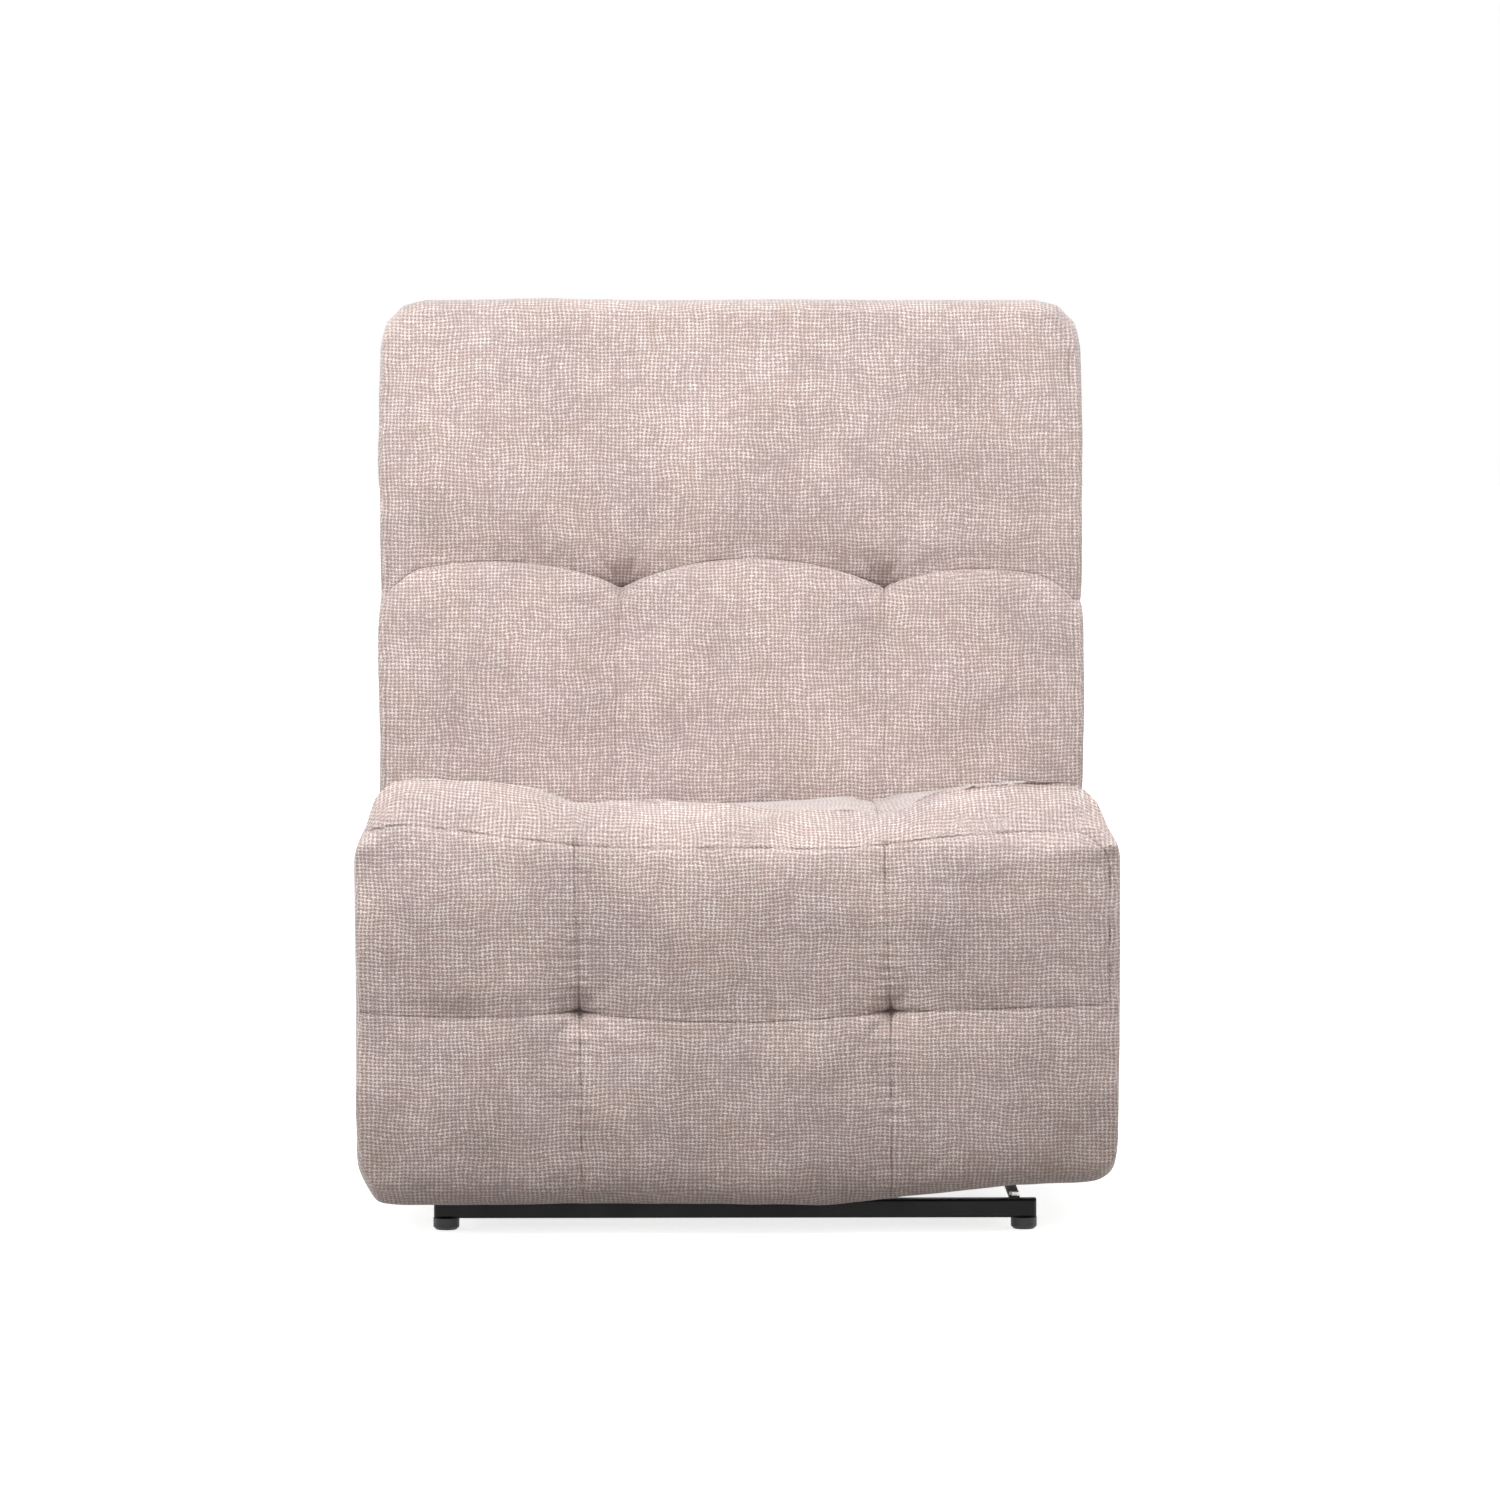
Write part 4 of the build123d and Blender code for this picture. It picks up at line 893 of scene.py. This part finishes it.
# ---------------------------------------------------------------- covered panels
def make_panel(node, body, name, puff=0.0010):
    """A padded panel: its solid's form with softened edges and a slightly uneven face."""
    piece = copied(node, name)
    remeshed(piece, panel_voxel)
    eased(piece, 2)
    subdivided(piece)
    points = coordinates(piece.data)
    facing = normals(piece.data)
    move_points(piece.data, points + facing * (puff * undulation(points, 0.15))[:, None])
    finished(piece, body, chenille, node, fill=0.9)


def make_band(node, name):
    """A cover strip round the back frame: thin, with a crowned face and rounded edges."""
    local = into_back(coordinates(nodes[node].data))
    low, high = local.min(axis=0), local.max(axis=0)
    spans = high - low
    along = int(spans.argmax())
    first, second = (axis for axis in range(3) if axis != along)
    middle = (low + high) / 2
    turns = np.linspace(0, 2 * pi, band_ring, endpoint=False)
    steps = np.linspace(low[along], high[along], max(2, int(spans[along] / band_step)))
    rings = np.zeros((len(steps), len(turns), 3))
    for axis, wave in ((first, np.cos(turns)), (second, np.sin(turns))):
        rings[:, :, axis] = middle[axis] + spans[axis] / 2 * np.sign(wave) * np.abs(wave) ** 0.35
    rings[:, :, along] = steps[:, None]
    ends = np.stack([middle, middle])
    ends[0, along], ends[1, along] = low[along], high[along]
    points = from_back(np.concatenate([rings.reshape(-1, 3), ends]))
    count = len(turns)
    faces = []
    for step in range(len(steps) - 1):
        here, there = step * count, (step + 1) * count
        for turn in range(count):
            after = (turn + 1) % count
            faces.append((here + turn, here + after, there + after, there + turn))
    last = (len(steps) - 1) * count
    for turn in range(count):
        after = (turn + 1) % count
        faces.append((after, turn, len(steps) * count))
        faces.append((last + turn, last + after, len(steps) * count + 1))
    mesh = bpy.data.meshes.new(name)
    mesh.from_pydata(points.tolist(), [], faces)
    piece = bpy.data.objects.new(name, mesh)
    bpy.context.scene.collection.objects.link(piece)
    work = bmesh.new()
    work.from_mesh(mesh)
    bmesh.ops.recalc_face_normals(work, faces=work.faces)
    work.to_mesh(mesh)
    work.free()
    finished(piece, "back", chenille, node, fill=1.0)


make_footrest_pad()
make_seat_cushion()
make_back_cushion()
for hand in ("left", "right"):
    make_panel(f"side_pad_{hand}", "seat", f"side_panel_cloth_{hand}")
make_panel("back_rear_pad", "back", "outside_back_cloth")
for strip in ("left", "right", "top"):
    make_band(f"back_band_{strip}", f"back_band_cloth_{strip}")


# ---------------------------------------------------------------- stage, light and camera
floor_reach = 30.0
floor_glow = 0.75
floor_seen = (0.80, 0.80, 0.80, 1)
floor_bounce = (0.30, 0.29, 0.28, 1)
world_light = 0.45


def plain_floor():
    """A pale square on the ground; returns its material's tree and shader."""
    mesh = bpy.data.meshes.new("floor")
    corners = [(x * floor_reach, y * floor_reach, 0) for x, y in ((-1, -1), (1, -1), (1, 1), (-1, 1))]
    mesh.from_pydata(corners, [], [(0, 1, 2, 3)])
    floor = bpy.data.objects.new("floor", mesh)
    bpy.context.scene.collection.objects.link(floor)
    material, tree, shader = new_material("pale floor")
    shader.inputs["Base Color"].default_value = floor_seen
    shader.inputs["Roughness"].default_value = 0.7
    mesh.materials.append(material)
    return tree, shader


def looked_at(tree):
    """1 for rays that show a surface to the camera, also through metal or glass, and 0 for light."""
    path = tree.nodes.new("ShaderNodeLightPath")
    seen = math_node(tree, "MAXIMUM", path.outputs["Is Camera Ray"], path.outputs["Is Glossy Ray"])
    return math_node(tree, "MAXIMUM", seen, path.outputs["Is Transmission Ray"])


def whiten(tree, shader):
    """The camera sees the floor as white where it is lit, and keeps the shadow on it."""
    seen = looked_at(tree)
    glow = tree.nodes.new("ShaderNodeEmission")
    glow.inputs["Color"].default_value = (1, 1, 1, 1)
    place = tree.nodes.new("ShaderNodeTexCoord").outputs["Object"]
    span = tree.nodes.new("ShaderNodeVectorMath")
    span.operation = "LENGTH"
    tree.links.new(place, span.inputs[0])
    tree.links.new(ramp(tree, span.outputs["Value"], 1.0, 3.5, floor_glow, 1.0), glow.inputs["Strength"])
    both = tree.nodes.new("ShaderNodeAddShader")
    tree.links.new(shader.outputs[0], both.inputs[0])
    tree.links.new(glow.outputs[0], both.inputs[1])
    bounce = tree.nodes.new("ShaderNodeBsdfDiffuse")
    bounce.inputs["Color"].default_value = floor_bounce
    choice = tree.nodes.new("ShaderNodeMixShader")
    tree.links.new(seen, choice.inputs[0])
    tree.links.new(bounce.outputs[0], choice.inputs[1])
    tree.links.new(both.outputs[0], choice.inputs[2])
    output = next(node for node in tree.nodes if node.type == "OUTPUT_MATERIAL")
    tree.links.new(choice.outputs[0], output.inputs["Surface"])


whiten(*plain_floor())

world = bpy.data.worlds.new("studio")
world.use_nodes = True
bpy.context.scene.world = world
sky = world.node_tree
background = sky.nodes["Background"]
background.inputs["Color"].default_value = (1, 1, 1, 1)
sky.links.new(ramp(sky, looked_at(sky), 0, 1, world_light, 1.0), background.inputs["Strength"])


def area_light(name, place, target, width, height, power):
    """A soft rectangular lamp of some watts, turned towards a target."""
    light = bpy.data.lights.new(name, "AREA")
    light.shape = "RECTANGLE"
    light.size = width
    light.size_y = height
    light.energy = power
    lamp = bpy.data.objects.new(name, light)
    lamp.location = place
    lamp.rotation_euler = (Vector(target) - Vector(place)).to_track_quat("-Z", "Y").to_euler()
    bpy.context.scene.collection.objects.link(lamp)


area_light("overhead", (-0.3, -1.5, 2.8), (0, -0.1, 0.5), 2.4, 1.8, 72)
area_light("front fill", (-1.6, -4.6, 2.2), (0, 0, 0.55), 2.6, 2.2, 42)
area_light("top rear", (0, 2.6, 5.5), (0, -0.2, 0.6), 2.0, 1.4, 85)
for side in (-1, 1):
    area_light("side", (3.0 * side, 0.2, 1.2), (0, -0.1, 0.6), 1.4, 1.6, 26)

camera_place = Vector((-0.085, -8.150, 1.000))
camera_target = Vector((0.0145, -0.450, 0.5214))
optics = bpy.data.cameras.new("camera")
optics.lens = 175.5
optics.sensor_width = 36.0
optics.sensor_fit = "HORIZONTAL"
optics.clip_end = 2 * floor_reach
camera = bpy.data.objects.new("camera", optics)
camera.location = camera_place
camera.rotation_euler = (camera_target - camera_place).to_track_quat("-Z", "Y").to_euler()
bpy.context.scene.collection.objects.link(camera)
bpy.context.scene.camera = camera

bpy.context.scene.view_settings.view_transform = "Standard"
